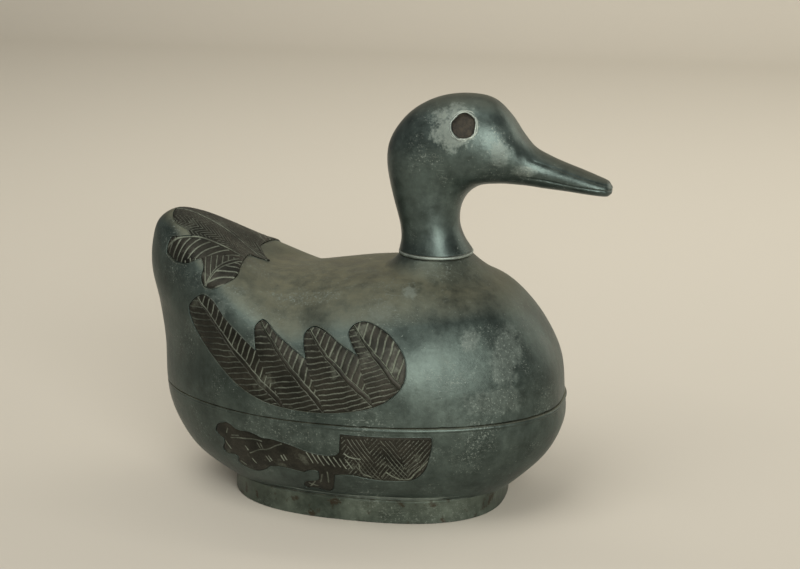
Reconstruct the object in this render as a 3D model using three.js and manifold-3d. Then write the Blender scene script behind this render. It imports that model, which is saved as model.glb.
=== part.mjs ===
// A pewter box in the shape of a sitting duck: the back, neck and head lift off as the lid.
// Millimetres. X runs forward to the bill, Y to the duck's left, Z up from the table.
import * as THREE from 'three';
import { mergeVertices } from 'three/addons/utils/BufferGeometryUtils.js';
import Module from 'manifold-3d';

const wasm = await Module();
wasm.setup();

// Walls, joints and clearances
const wall = 2.2;
const seamHeight = 46.4;
const seamGap = 0.3;
const seatGap = 0.3;
const rimDepth = 2.6;
const rimProud = 0.7;
const flangeWall = 1.2;
const flangeAbove = 4;
const flangeBelow = 8;
const flangeClearance = 0.6;

// Foot ring
const footHeight = 10.5;
const footHalfLength = 58.3;
const footHalfWidth = 40.3;
const footCentre = -1.7;
const footWall = 2.6;
const footFullness = 2.5;

// Neck joint
const collarTop = 104.6;
const collarSpread = 9.5;
const collarForwardSpread = 3.5;
const collarSteps = 6;
const collarHollow = 1.8;
const collarSink = 0.1;
const collarRootShare = 0.7;
const bandHeight = 1.4;
const bandProud = 0.4;
const neckCentre = 25.6;
const neckHalfLength = 14.9;
const neckHalfWidth = 13.6;
const neckBase = collarTop + seatGap + bandHeight + seatGap;
const neckOverrun = 5;

// Inlaid plates
const plateThickness = 0.7;
const plateBed = 0.3;
const plateClearance = 0.3;

// Eyes
const eyeCentre = new THREE.Vector2(13.9, 53.7);
const eyeRadius = 5;
const eyeDepth = 1.4;
const eyeThickness = 1;
const eyeSides = 24;
const headReach = 3 * neckHalfWidth;

// Body, seen from the side: the outline in the middle plane, from the seam at the rear,
// up over the tail, along the back, down the breast and under the bowl
const bodyMiddle = new THREE.Vector2(-6, 58);
const bodyHalfWidth = 54.3;
const crest = [
  [-90.4, 47.5], [-91.2, 64.0], [-93.9, 80.0], [-97.2, 94.0], [-96.6, 105.0], [-93.8, 113.0],
  [-88.0, 116.8], [-80.0, 116.2], [-71.0, 112.8], [-62.0, 107.8], [-54.2, 101.6], [-46.8, 96.6],
  [-36.0, 95.2], [-20.0, 96.6], [-4.0, 98.6], [12.0, 100.2], [28.0, 100.6], [42.0, 98.6],
  [54.0, 94.2], [63.6, 86.3], [72.2, 75.0], [78.0, 62.2], [79.6, 47.5],
  [80.0, 36.0], [75.5, 25.6], [66.3, 15.7], [54.9, 7.3], [38.0, 3.0], [10.0, 2.0],
  [-20.0, 2.0], [-46.0, 3.6], [-62.1, 9.5], [-76.3, 18.0], [-84.9, 28.9], [-89.0, 38.4],
];
const sideFullness = 2.55;
const underFullness = 3.9;
const flankEasing = 30;
const flankSwell = 1.06;
const tailPinch = 0.5;
const tailDirection = new THREE.Vector2(-0.84, 0.54).normalize();
const tailFocus = 4;

// Neck and head: each rib joins a point of the nape or crown to one of the throat or under the
// bill, measured from the middle of the neck's base
const ribs = [
  { back: [-neckHalfLength, 0], front: [neckHalfLength, 0], half: neckHalfWidth },
  { back: [-14.1, 4.4], front: [11.8, 4.8], half: 12.4 },
  { back: [-14.6, 10.4], front: [9.8, 10.9], half: 11.8 },
  { back: [-16.9, 19.4], front: [10.3, 18.0], half: 12.2 },
  { back: [-18.9, 27.9], front: [12.8, 23.2], half: 13.2 },
  { back: [-20.0, 35.9], front: [16.2, 26.4], half: 14.4 },
  { back: [-19.3, 43.2], front: [19.4, 28.0], half: 15.4 },
  { back: [-16.0, 50.0], front: [22.4, 28.6], half: 16.2 },
  { back: [-9.4, 57.2], front: [25.4, 28.8], half: 16.6 },
  { back: [0.9, 62.6], front: [28.4, 28.9], half: 16.3 },
  { back: [12.9, 64.4], front: [31.4, 28.8], half: 15.2 },
  { back: [22.8, 62.8], front: [34.4, 28.6], half: 13.4 },
  { back: [29.6, 57.0], front: [37.4, 28.4], half: 11.4 },
  { back: [34.4, 50.2], front: [40.4, 28.1], half: 9.8 },
  { back: [39.6, 44.2], front: [43.9, 27.7], half: 8.7 },
  { back: [45.8, 40.8], front: [48.4, 27.3], half: 8.0 },
  { back: [52.4, 38.1], front: [54.4, 26.8], half: 7.6 },
  { back: [59.4, 35.6], front: [60.9, 26.1], half: 7.2 },
  { back: [65.8, 33.2], front: [66.6, 25.6], half: 6.3 },
  { back: [70.0, 31.6], front: [69.8, 25.6], half: 4.8 },
  { back: [71.6, 30.8], front: [71.0, 26.2], half: 3.2 },
];
const headFullness = 2.15;
const lastHollowRib = 11;

// Outlines of the inlaid plates, as curves that meet in corners. The wings and feet are seen
// from the side and measured up from the seam. The tail's right half is seen from above and
// measured sideways in shares of the body's half width
const wingRuns = [
  [[6.0, 28.4], [1.4, 36.6], [3.0, 39.1], [6.4, 40.1], [16.2, 36.5], [24.0, 27.5], [23.5, 17.3],
    [15.2, 9.8], [2.3, 6.1], [-6.3, 5.0], [-23.3, 5.4], [-44.8, 12.0], [-62.3, 25.6],
    [-70.1, 37.8], [-66.9, 42.0], [-63.1, 44.0], [-58.4, 42.7], [-44.0, 32.0], [-36.0, 26.8]],
  [[-36.0, 26.8], [-37.3, 36.1], [-35.2, 38.1], [-28.4, 33.8], [-14.8, 25.5]],
  [[-14.8, 25.5], [-16.7, 34.9], [-13.8, 36.9], [-6.2, 35.1], [6.0, 28.4]],
];
const footRuns = [
  [[-56.4, -9.6], [-53.2, -7.0], [-49.1, -6.8], [-44.6, -8.5], [-34.8, -9.6], [-26.4, -10.2],
    [-15.8, -12.9], [-7.4, -13.8], [-2.5, -13.0], [-1.3, -11.5]],
  [[-1.3, -11.5], [-0.7, -3.8]],
  [[-0.7, -3.8], [34.8, -4.0]],
  [[34.8, -4.0], [34.3, -10.4], [32.4, -17.4], [26.6, -23.7], [18.7, -24.5], [8.8, -23.7],
    [-0.1, -22.3], [-4.5, -23.0]],
  [[-4.5, -23.0], [-6.7, -31.1], [-8.6, -32.9], [-13.4, -31.8], [-18.6, -32.4], [-18.8, -30.4],
    [-14.2, -27.7], [-11.9, -26.9], [-11.3, -22.2]],
  [[-11.3, -22.2], [-17.4, -23.4], [-25.7, -22.3], [-32.7, -23.0], [-40.7, -27.7],
    [-47.9, -25.3], [-47.5, -22.4], [-52.3, -21.5], [-54.4, -19.2], [-53.1, -16.2],
    [-57.0, -11.8], [-56.4, -9.6]],
];
const tailRuns = [
  [[-46.1, 0], [-52.5, -0.134], [-51.7, -0.381], [-50.9, -0.538], [-54.5, -0.622],
    [-59.2, -0.645], [-65.1, -0.569], [-66.8, -0.46]],
  [[-66.8, -0.46], [-71.8, -0.477], [-77.1, -0.444], [-84.8, -0.328], [-83.5, -0.302],
    [-74.0, -0.306]],
  [[-74.0, -0.306], [-82.6, -0.206], [-85.5, -0.144], [-87.2, 0]],
];
const tailCutRise = 38.6;

// How finely the curved surfaces are divided
const outerGrid = { stations: 56, swings: 7 };
const innerGrid = { stations: 42, swings: 5 };
const ringSides = 16;
const ovalSides = 40;
const stepsPerRib = 2;
const runSteps = 2;

// Lengths that reach past the whole duck, and distances that keep a cut to one side of it
const beyond = 4 * bodyHalfWidth;
const sideCutNear = 15;
const sideCutFar = 1.5 * bodyHalfWidth;

const pewter = { color: 0x56625f, roughness: 0.5, metalness: 0.75 };
const darkBrass = { color: 0x443d33, roughness: 0.6, metalness: 0.7 };
const solder = { color: 0x7c8680, roughness: 0.45, metalness: 0.75 };
const darkEye = { color: 0x38241c, roughness: 0.7, metalness: 0.2 };

// Turns a closed three.js geometry into a solid that can be cut and joined
function solidOf(geometry) {
  const plain = new THREE.BufferGeometry();
  plain.setAttribute('position', geometry.getAttribute('position'));
  if (geometry.index) plain.setIndex(geometry.index);
  const welded = mergeVertices(plain, 1e-4);
  return new wasm.Manifold(new wasm.Mesh({
    numProp: 3,
    vertProperties: new Float32Array(welded.getAttribute('position').array),
    triVerts: new Uint32Array(welded.index.array),
  }));
}

// Turns a solid back into a three.js geometry
function geometryOf(solid) {
  const mesh = solid.getMesh();
  const geometry = new THREE.BufferGeometry();
  geometry.setAttribute('position', new THREE.BufferAttribute(new Float32Array(mesh.vertProperties), 3));
  geometry.setIndex(Array.from(mesh.triVerts));
  return geometry;
}

// A horizontal slab that is larger than the duck, for cutting at a height
function slab(bottom, top) {
  const box = new THREE.BoxGeometry(2 * beyond, 2 * beyond, top - bottom);
  box.translate(0, 0, (top + bottom) / 2);
  return solidOf(box);
}

function signedPower(value, power) {
  return Math.sign(value) * Math.pow(Math.abs(value), power);
}

// A point of an oval that is fuller than an ellipse where fullness is above 2
function ovalPoint(turn, halfLength, halfWidth, fullness) {
  const power = 2 / fullness;
  return new THREE.Vector2(
    halfLength * signedPower(Math.cos(turn), power),
    halfWidth * signedPower(Math.sin(turn), power),
  );
}

// A straight prism on a closed outline
function prismOf(points, depth) {
  return new THREE.ExtrudeGeometry(new THREE.Shape(points), { depth, bevelEnabled: false });
}

// An upright oval prism between two heights
function ovalPrism(centre, halfLength, halfWidth, fullness, bottom, top) {
  const points = [];
  for (let i = 0; i < ovalSides; i += 1) {
    points.push(ovalPoint((i / ovalSides) * 2 * Math.PI, halfLength, halfWidth, fullness));
  }
  return solidOf(prismOf(points, top - bottom).translate(centre, 0, bottom));
}

// Samples a closed line through points in the XZ plane
function closedLine(points, steps) {
  const line = new THREE.CatmullRomCurve3(points.map(([x, z]) => new THREE.Vector3(x, 0, z)), true);
  const samples = [];
  for (let i = 0; i < steps; i += 1) {
    const p = line.getPoint(i / steps);
    samples.push(new THREE.Vector2(p.x, p.z));
  }
  return samples;
}

// Each point moved towards the mean of its neighbours
function eased(points) {
  const count = points.length;
  return points.map(([x, z], i) => {
    const before = points[(i + count - 1) % count];
    const after = points[(i + 1) % count];
    return [(before[0] + 2 * x + after[0]) / 4, (before[1] + 2 * z + after[1]) / 4];
  });
}

// How full the cross-section is in a direction from the body's middle
function fullnessAt(direction) {
  return sideFullness + (underFullness - sideFullness) * Math.pow(Math.max(0, -direction.y), 2);
}

// Stations round the body, each with its point of the crest and of the flank's smoother line
function stationsOf(count) {
  let easedCrest = crest;
  for (let i = 0; i < flankEasing; i += 1) easedCrest = eased(easedCrest);
  const flank = closedLine(easedCrest, count);
  return closedLine(crest, count).map((point, i) => ({
    ridge: point.sub(bodyMiddle),
    flank: flank[i].sub(bodyMiddle).multiplyScalar(flankSwell),
  }));
}

// A point of the body at a station, swung from the middle plane towards the side.
// Towards the tail the ridge is pinched narrower than the flanks
function bodyPoint(station, swing) {
  const reach = Math.max(Math.cos(swing), 0);
  const direction = station.ridge.clone().normalize();
  const power = 2 / fullnessAt(direction);
  const pinch = tailPinch * Math.pow(Math.max(0, direction.dot(tailDirection)), tailFocus);
  const out = station.flank.clone().lerp(station.ridge, reach * reach);
  out.multiplyScalar(Math.pow(reach, power));
  const side = bodyHalfWidth * signedPower(Math.sin(swing), power) * (1 - pinch * reach * reach);
  return new THREE.Vector3(bodyMiddle.x + out.x, side, bodyMiddle.y + out.y);
}

const outerStations = stationsOf(outerGrid.stations);

// Height of the body's upper surface above a point of the plan, ahead of the tail
function bodyTop(x, y) {
  let top = -Infinity;
  const swing = Math.asin(Math.pow(Math.abs(y) / bodyHalfWidth, sideFullness / 2));
  const points = outerStations.map((station) => bodyPoint(station, swing));
  points.forEach((a, i) => {
    const b = points[(i + 1) % points.length];
    if ((a.x - x) * (b.x - x) > 0 || a.x === b.x) return;
    const share = (x - a.x) / (b.x - a.x);
    top = Math.max(top, a.z + share * (b.z - a.z));
  });
  return top;
}

// Moves each point of a surface along its normal
function movedOut(geometry, offset) {
  geometry.computeVertexNormals();
  const position = geometry.getAttribute('position');
  const normal = geometry.getAttribute('normal');
  const point = new THREE.Vector3();
  const step = new THREE.Vector3();
  for (let i = 0; i < position.count; i += 1) {
    point.fromBufferAttribute(position, i);
    step.fromBufferAttribute(normal, i);
    point.addScaledVector(step, offset);
    position.setXYZ(i, point.x, point.y, point.z);
  }
  return geometry;
}

// Triangles of a sheet of points in rows, each row closed on itself
function sheetIndex(rows, rowLength) {
  const index = [];
  for (let j = 0; j < rows - 1; j += 1) {
    for (let i = 0; i < rowLength; i += 1) {
      const next = (i + 1) % rowLength;
      const a = j * rowLength + i;
      const b = j * rowLength + next;
      index.push(a, b, a + rowLength, b, b + rowLength, a + rowLength);
    }
  }
  return index;
}

// The triangles that close a sheet at its first and last row, round one point at each end
function capIndex(rows, rowLength, firstPole, lastPole) {
  const index = [];
  const last = (rows - 1) * rowLength;
  for (let i = 0; i < rowLength; i += 1) {
    const next = (i + 1) % rowLength;
    index.push(firstPole, next, i, lastPole, last + i, last + next);
  }
  return index;
}

// The whole body, bowl and lid in one, moved outward by an offset
function bodySolid(offset, grid) {
  const points = [];
  const stations = stationsOf(grid.stations);
  const rows = 2 * grid.swings - 1;
  for (let j = 1 - grid.swings; j < grid.swings; j += 1) {
    const swing = (j / grid.swings) * (Math.PI / 2);
    stations.forEach((station) => points.push(bodyPoint(station, swing)));
  }
  points.push(new THREE.Vector3(bodyMiddle.x, -bodyHalfWidth, bodyMiddle.y));
  points.push(new THREE.Vector3(bodyMiddle.x, bodyHalfWidth, bodyMiddle.y));
  const geometry = new THREE.BufferGeometry().setFromPoints(points);
  geometry.setIndex([
    ...sheetIndex(rows, grid.stations),
    ...capIndex(rows, grid.stations, points.length - 2, points.length - 1),
  ]);
  return solidOf(movedOut(geometry, offset));
}

// A solid lofted through rings of points, moved outward by an offset and closed with flat ends
function loft(rings, offset = 0) {
  const sides = rings[0].length;
  const sheet = new THREE.BufferGeometry().setFromPoints(rings.flat());
  sheet.setIndex(sheetIndex(rings.length, sides));
  movedOut(sheet, offset);
  const position = sheet.getAttribute('position');
  const points = [];
  for (let i = 0; i < position.count; i += 1) {
    points.push(new THREE.Vector3().fromBufferAttribute(position, i));
  }
  const ends = [points.slice(0, sides), points.slice(-sides)];
  ends.forEach((ring) => {
    points.push(ring.reduce((sum, p) => sum.add(p), new THREE.Vector3()).divideScalar(sides));
  });
  const geometry = new THREE.BufferGeometry().setFromPoints(points);
  geometry.setIndex([
    ...sheetIndex(rings.length, sides),
    ...capIndex(rings.length, sides, points.length - 2, points.length - 1),
  ]);
  return solidOf(geometry);
}

// The outline that a list of runs makes, each run a smooth curve from corner to corner
function outline(runs) {
  const points = [];
  runs.forEach((run) => {
    const steps = run.length > 2 ? (run.length - 1) * runSteps : 1;
    const curve = new THREE.SplineCurve(run.map(([x, y]) => new THREE.Vector2(x, y)));
    for (let i = 0; i < steps; i += 1) points.push(curve.getPoint(i / steps));
  });
  return points;
}

// An outline moved outward by a distance
function widened(points, distance) {
  const turn = THREE.ShapeUtils.isClockWise(points) ? -1 : 1;
  return points.map((point, i) => {
    const before = points[(i + points.length - 1) % points.length];
    const after = points[(i + 1) % points.length];
    const inward = point.clone().sub(before).normalize();
    const outward = after.clone().sub(point).normalize();
    const along = inward.add(outward).normalize();
    return new THREE.Vector2(point.x + turn * distance * along.y, point.y - turn * distance * along.x);
  });
}

// A prism whose outline is seen from the side, between two distances from the middle plane
function sidePrism(points, from, to) {
  return solidOf(prismOf(points, to - from).rotateX(Math.PI / 2).translate(0, to, 0));
}

// A prism whose outline is seen from above, from a height to above the duck
function planPrism(points, bottom) {
  return solidOf(prismOf(points, beyond).translate(0, 0, bottom));
}

const bodyOuter = bodySolid(0, outerGrid);
const bodyInner = bodySolid(-wall, innerGrid);
const bodyClear = bodySolid(wall, innerGrid);
const pocketFloor = bodySolid(-plateThickness - plateBed, outerGrid);
const plateBack = bodySolid(-plateThickness, outerGrid);

// A plate that lies in the body's surface, and the pocket that it lies in
function inlay(plateShape, pocketShape) {
  return {
    plate: bodyOuter.intersect(plateShape).subtract(plateBack),
    pocket: bodyClear.intersect(pocketShape).subtract(pocketFloor),
  };
}

// A wing or foot plate on one side, from runs measured up from the seam
function sideInlay(runs, side) {
  const points = outline(runs).map((point) => new THREE.Vector2(point.x, seamHeight + point.y));
  const near = side > 0 ? sideCutNear : -sideCutFar;
  const far = side > 0 ? sideCutFar : -sideCutNear;
  return inlay(sidePrism(points, near, far), sidePrism(widened(points, plateClearance), near, far));
}

// The tail plate lies across the middle plane, its left half the mirror of its right
function tailInlay() {
  const [lastX, lastShare] = tailRuns.at(-1).at(-1);
  const half = [...outline(tailRuns), new THREE.Vector2(lastX, lastShare)];
  const right = half.map((point) => new THREE.Vector2(point.x, point.y * bodyHalfWidth));
  const left = right.slice(1, -1).reverse().map((point) => new THREE.Vector2(point.x, -point.y));
  const points = [...right, ...left];
  const bottom = seamHeight + tailCutRise;
  return inlay(planPrism(points, bottom), planPrism(widened(points, plateClearance), bottom));
}

const wings = { right: sideInlay(wingRuns, -1), left: sideInlay(wingRuns, 1) };
const feet = { right: sideInlay(footRuns, -1), left: sideInlay(footRuns, 1) };
const tail = tailInlay();

// Bowl: a thin wall with a flat base and a bead round its rim
function makeBowl() {
  const rimTop = seamHeight - seamGap / 2;
  const bead = bodySolid(rimProud, outerGrid).intersect(slab(rimTop - rimDepth, rimTop));
  const shell = bodyOuter.intersect(slab(footHeight, rimTop)).add(bead);
  const hollow = bodyInner.intersect(slab(footHeight + wall, seamHeight));
  return shell.subtract(hollow).subtract(feet.right.pocket).subtract(feet.left.pocket);
}

// Foot ring: an upright oval strip under the bowl
function makeFootRing() {
  const top = footHeight - seatGap;
  const outer = ovalPrism(footCentre, footHalfLength, footHalfWidth, footFullness, 0, top);
  const inner = ovalPrism(
    footCentre, footHalfLength - footWall, footHalfWidth - footWall, footFullness, -footHeight, footHeight,
  );
  return outer.subtract(inner);
}

// Flange: a strip inside the bowl's rim that stands up into the lid
function makeFlange() {
  const outer = bodySolid(-wall - flangeClearance, innerGrid);
  const inner = bodySolid(-wall - flangeClearance - flangeWall, innerGrid);
  return outer.subtract(inner).intersect(slab(seamHeight - flangeBelow, seamHeight + flangeAbove));
}

// Collar: the foot of the neck, which spreads out and runs into the back and breast
function makeCollar() {
  const rings = [];
  for (let k = 0; k <= collarSteps; k += 1) {
    const out = k / collarSteps;
    const sink = k === collarSteps ? collarSink : 0;
    const ring = [];
    for (let i = 0; i < ovalSides; i += 1) {
      const turn = (-i / ovalSides) * 2 * Math.PI;
      const neck = ovalPoint(turn, neckHalfLength, neckHalfWidth, headFullness);
      const spread = collarSpread + collarForwardSpread * Math.cos(turn);
      const edge = neck.clone().add(neck.clone().setLength(spread * out));
      const rise = collarTop - bodyTop(neckCentre + neck.x, neck.y);
      const height = bodyTop(neckCentre + edge.x, edge.y) + rise * Math.pow(1 - out, collarHollow) - sink;
      ring.push(new THREE.Vector3(neckCentre + edge.x, edge.y, height));
    }
    rings.push(ring);
  }
  const lowest = rings[collarSteps].map((p) => new THREE.Vector3(
    THREE.MathUtils.lerp(neckCentre, p.x, collarRootShare), collarRootShare * p.y, p.z - wall,
  ));
  return loft([...rings, lowest]);
}

// Lid: the duck's back, tail and breast, open below and under the neck, with a level seat
// for the neck's band
function makeLid() {
  const seatClearance = bandProud + seatGap;
  const seat = ovalPrism(
    neckCentre, neckHalfLength + seatClearance, neckHalfWidth + seatClearance, headFullness,
    collarTop, beyond,
  );
  const casting = bodyOuter.intersect(slab(seamHeight + seamGap / 2, beyond)).add(makeCollar());
  const shell = casting.subtract(seat);
  const bore = ovalPrism(
    neckCentre, neckHalfLength - wall, neckHalfWidth - wall, headFullness, seamHeight, neckBase,
  );
  const hollow = bodyInner.intersect(slab(seamHeight, beyond)).add(bore);
  return shell.subtract(hollow)
    .subtract(wings.right.pocket)
    .subtract(wings.left.pocket)
    .subtract(tail.pocket);
}

// Band of solder between the collar and the neck
function makeNeckBand() {
  const outer = ovalPrism(
    neckCentre, neckHalfLength + bandProud, neckHalfWidth + bandProud, headFullness,
    collarTop + seatGap, neckBase - seatGap,
  );
  const inner = ovalPrism(
    neckCentre, neckHalfLength - wall, neckHalfWidth - wall, headFullness, collarTop, neckBase,
  );
  return outer.subtract(inner);
}

// Rings of the neck and head, from the first rib to the last
function headRings(lastRib) {
  const lineOf = (points) => new THREE.CatmullRomCurve3(points.map(([x, z]) => new THREE.Vector3(x, 0, z)));
  const backs = lineOf(ribs.map((rib) => rib.back));
  const fronts = lineOf(ribs.map((rib) => rib.front));
  const halves = lineOf(ribs.map((rib, i) => [i, rib.half]));
  const rings = [];
  for (let k = 0; k <= lastRib * stepsPerRib; k += 1) {
    const share = k / ((ribs.length - 1) * stepsPerRib);
    const back = backs.getPoint(share);
    const front = fronts.getPoint(share);
    const half = halves.getPoint(share).z;
    const ring = [];
    for (let i = 0; i < ringSides; i += 1) {
      const p = ovalPoint((-i / ringSides) * 2 * Math.PI, 1, half, headFullness);
      const point = back.clone().lerp(front, (1 - p.x) / 2);
      ring.push(new THREE.Vector3(neckCentre + point.x, p.y, neckBase + point.z));
    }
    rings.push(ring);
  }
  return rings;
}

// A cylinder across the head at the eye, from the middle plane out to one side
function eyeCylinder(side, radius) {
  const cylinder = new THREE.CylinderGeometry(radius, radius, headReach, eyeSides);
  cylinder.translate(neckCentre + eyeCentre.x, side * headReach / 2, neckBase + eyeCentre.y);
  return solidOf(cylinder);
}

const headOuter = loft(headRings(ribs.length - 1));
const eyeFloor = loft(headRings(ribs.length - 1), -eyeDepth);
const eyeBack = loft(headRings(ribs.length - 1), -eyeDepth - eyeThickness);
const eyeBed = loft(headRings(ribs.length - 1), -eyeDepth - eyeThickness - seatGap);

// Head: a hollow casting of neck, head and bill, open below and with a socket for each eye
function makeHead() {
  const rings = headRings(lastHollowRib);
  const below = rings[0].map((p) => new THREE.Vector3(p.x, p.y, p.z - neckOverrun));
  let head = headOuter.subtract(loft([below, ...rings], -wall));
  [-1, 1].forEach((side) => {
    head = head.subtract(eyeCylinder(side, eyeRadius).subtract(eyeBed));
  });
  return head;
}

function makeEye(side) {
  return eyeFloor.intersect(eyeCylinder(side, eyeRadius - seatGap)).subtract(eyeBack);
}

const duck = new THREE.Group();

function addPart(name, solid, finish) {
  const mesh = new THREE.Mesh(geometryOf(solid), new THREE.MeshStandardMaterial(finish));
  mesh.name = name;
  duck.add(mesh);
}

addPart('base_bowl', makeBowl(), pewter);
addPart('foot_ring', makeFootRing(), pewter);
addPart('locating_flange', makeFlange(), pewter);
addPart('right_foot_inlay', feet.right.plate, darkBrass);
addPart('left_foot_inlay', feet.left.plate, darkBrass);
addPart('lid_shell', makeLid(), pewter);
addPart('neck_band', makeNeckBand(), solder);
addPart('head', makeHead(), pewter);
addPart('right_wing_inlay', wings.right.plate, darkBrass);
addPart('left_wing_inlay', wings.left.plate, darkBrass);
addPart('tail_inlay', tail.plate, darkBrass);
addPart('right_eye', makeEye(-1), darkEye);
addPart('left_eye', makeEye(1), darkEye);

export default duck;
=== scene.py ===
# The looks of a lidded box in the shape of a sitting duck: cast pewter with a dark patina,
# inlaid with plates of darkened brass that are chased with feathers and webbed feet.
# Sizes here are millimetres and become metres as each mesh is made. X runs forward to the bill,
# Y to the duck's left, Z up from the table.
import math

import bmesh
import bpy
import numpy as np
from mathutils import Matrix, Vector, geometry
from mathutils.bvhtree import BVHTree


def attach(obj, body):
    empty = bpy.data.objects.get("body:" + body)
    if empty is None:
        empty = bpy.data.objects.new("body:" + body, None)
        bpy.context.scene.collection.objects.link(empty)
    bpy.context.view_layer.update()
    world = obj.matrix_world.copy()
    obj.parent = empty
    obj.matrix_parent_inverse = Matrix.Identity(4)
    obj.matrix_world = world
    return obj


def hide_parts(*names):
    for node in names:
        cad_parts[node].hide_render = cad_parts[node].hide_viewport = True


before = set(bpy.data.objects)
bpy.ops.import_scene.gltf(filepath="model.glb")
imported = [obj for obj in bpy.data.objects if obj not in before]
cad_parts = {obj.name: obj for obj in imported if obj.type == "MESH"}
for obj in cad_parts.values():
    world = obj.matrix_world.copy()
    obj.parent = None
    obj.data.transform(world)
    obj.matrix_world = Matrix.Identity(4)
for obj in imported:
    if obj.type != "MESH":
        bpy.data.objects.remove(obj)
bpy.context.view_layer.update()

MM = 0.001

# Walls, joints and clearances, as in the part
WALL = 2.2
SEAM = 46.4
SEAM_GAP = 0.3
SEAT_GAP = 0.3
RIM_PROUD = 0.7
RIM_REAR_PROUD = 0.05
RIM_BEAD_RADIUS = 1.0
RIM_BEAD_BELOW = 0.05
# The bead comes to stand out between these two places along X
RIM_BEAD_RISE = [-25, 45]
FILED_HEIGHT = 1.5
FLANGE_WALL = 1.2
FLANGE_ABOVE = 4.0
FLANGE_BELOW = 8.0
FLANGE_CLEARANCE = 0.6

# Foot ring
FOOT_HEIGHT = 10.5
FOOT_HALF_LENGTH = 58.3
FOOT_HALF_WIDTH = 40.3
FOOT_CENTRE = -1.7
FOOT_WALL = 2.6
FOOT_FULLNESS = 2.5
SOLDER_INSET = 0.75
SOLDER_RISE = 1.4
SOLDER_WAVE = 0.35

# Neck joint
COLLAR_TOP = 104.6
COLLAR_SPREAD = 9.5
COLLAR_FORWARD_SPREAD = 3.5
COLLAR_HOLLOW = 1.8
COLLAR_STEPS = 20
COLLAR_SINK = 0.03
COLLAR_ROOT_SHARE = 0.7
BORE_START = 80
BAND_HEIGHT = 1.4
BAND_PROUD = 0.4
NECK_CENTRE = 25.6
NECK_HALF_LENGTH = 14.9
NECK_HALF_WIDTH = 13.6
NECK_BASE = COLLAR_TOP + 2 * SEAT_GAP + BAND_HEIGHT

# Plates and eyes
PLATE_THICKNESS = 0.7
PLATE_BED = 0.3
PLATE_CLEARANCE = 0.2
PLATE_PROUD = 0.05
POCKET_ABOVE = 1.5
# Spacing of the mesh points that fill a plate's face, its underside and the tool for its pocket
PLATE_GRAIN = 0.24
FLOOR_GRAIN = 2.5
POCKET_GRAIN = 1.5
BURR_RADIUS = 0.22
BURR_OFFSET = 0.34
BURR_SINK = 0.14
EYE_CENTRE = np.array([39.5, 160.3])
EYE_RADIUS = 5.0
EYE_DEPTH = 1.4
# Below the depth of the socket: the face of the paste, its back and the socket's floor
EYE_SINK = 0.2
EYE_BACK = 1.1
EYE_BED = 1.3
# The two torn rims: distance outside the socket, radius and sink
EYE_RIMS = [(0.1, 0.42, 0.12), (0.6, 0.32, 0.2)]

# How far a cutting tool runs past what it cuts, and a height above the whole duck
OVERRUN = 5
ABOVE_ALL = 250

# Body, seen from the side
BODY_MIDDLE = np.array([-6.0, 58.0])
BODY_HALF_WIDTH = 54.3
CREST = np.array([
    [-90.4, 47.5], [-91.2, 64.0], [-93.9, 80.0], [-97.2, 94.0], [-96.6, 105.0], [-93.8, 113.0],
    [-88.0, 116.8], [-80.0, 116.2], [-71.0, 112.8], [-62.0, 107.8], [-54.2, 101.6], [-46.8, 96.6],
    [-36.0, 95.2], [-20.0, 96.6], [-4.0, 98.6], [12.0, 100.2], [28.0, 100.6], [42.0, 98.6],
    [54.0, 94.2], [63.6, 86.3], [72.2, 75.0], [78.0, 62.2], [79.6, 47.5],
    [80.0, 36.0], [75.5, 25.6], [66.3, 15.7], [54.9, 7.3], [38.0, 3.0], [10.0, 2.0],
    [-20.0, 2.0], [-46.0, 3.6], [-62.1, 9.5], [-76.3, 18.0], [-84.9, 28.9], [-89.0, 38.4],
])
SIDE_FULLNESS = 2.55
UNDER_FULLNESS = 3.9
FLANK_EASING = 30
FLANK_SWELL = 1.06
TAIL_PINCH = 0.5
TAIL_DIRECTION = np.array([-0.84, 0.54]) / math.hypot(0.84, 0.54)
TAIL_FOCUS = 4

# Neck and head: for each rib its back point, its front point and its half width
RIBS = [
    ((10.7, 106.6), (40.5, 106.6), 13.6), ((11.5, 111.0), (37.4, 111.4), 12.4),
    ((11.0, 117.0), (35.4, 117.5), 11.8), ((8.7, 126.0), (35.9, 124.6), 12.2),
    ((6.7, 134.5), (38.4, 129.8), 13.2), ((5.6, 142.5), (41.8, 133.0), 14.4),
    ((6.3, 149.8), (45.0, 134.6), 15.4), ((9.6, 156.6), (48.0, 135.2), 16.2),
    ((16.2, 163.8), (51.0, 135.4), 16.6), ((26.5, 169.2), (54.0, 135.5), 16.3),
    ((38.5, 171.0), (57.0, 135.4), 15.2), ((48.4, 169.4), (60.0, 135.2), 13.4),
    ((55.2, 163.6), (63.0, 135.0), 11.4), ((60.0, 156.8), (66.0, 134.7), 9.8),
    ((65.2, 150.8), (69.5, 134.3), 8.7), ((71.4, 147.4), (74.0, 133.9), 8.0),
    ((78.0, 144.7), (80.0, 133.4), 7.6), ((85.0, 142.2), (86.5, 132.7), 7.2),
    ((91.4, 139.8), (92.2, 132.2), 6.3), ((95.6, 138.2), (95.4, 132.2), 4.8),
    ((97.2, 137.4), (96.6, 132.8), 3.2),
]
HEAD_FULLNESS = 2.15
LAST_HOLLOW_RIB = 11
# The tip of the bill droops a little as it closes between two places along X
TIP_START = 94.4
TIP_END = 97.3
TIP_DROOP = 0.7
TIP_CLOSED = 0.985
TIP_ROUNDING = 2.4
MOUTH = [(62.0, 139.8), (70.0, 138.9), (80.0, 137.2), (89.0, 135.9), (98.0, 134.8)]
MOUTH_DEPTH = 0.3
BILL_RIDGE = [(66.0, 146.5), (76.0, 143.2), (88.0, 139.2), (97.0, 136.6)]
BILL_RIDGE_DEPTH = 0.16

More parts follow.
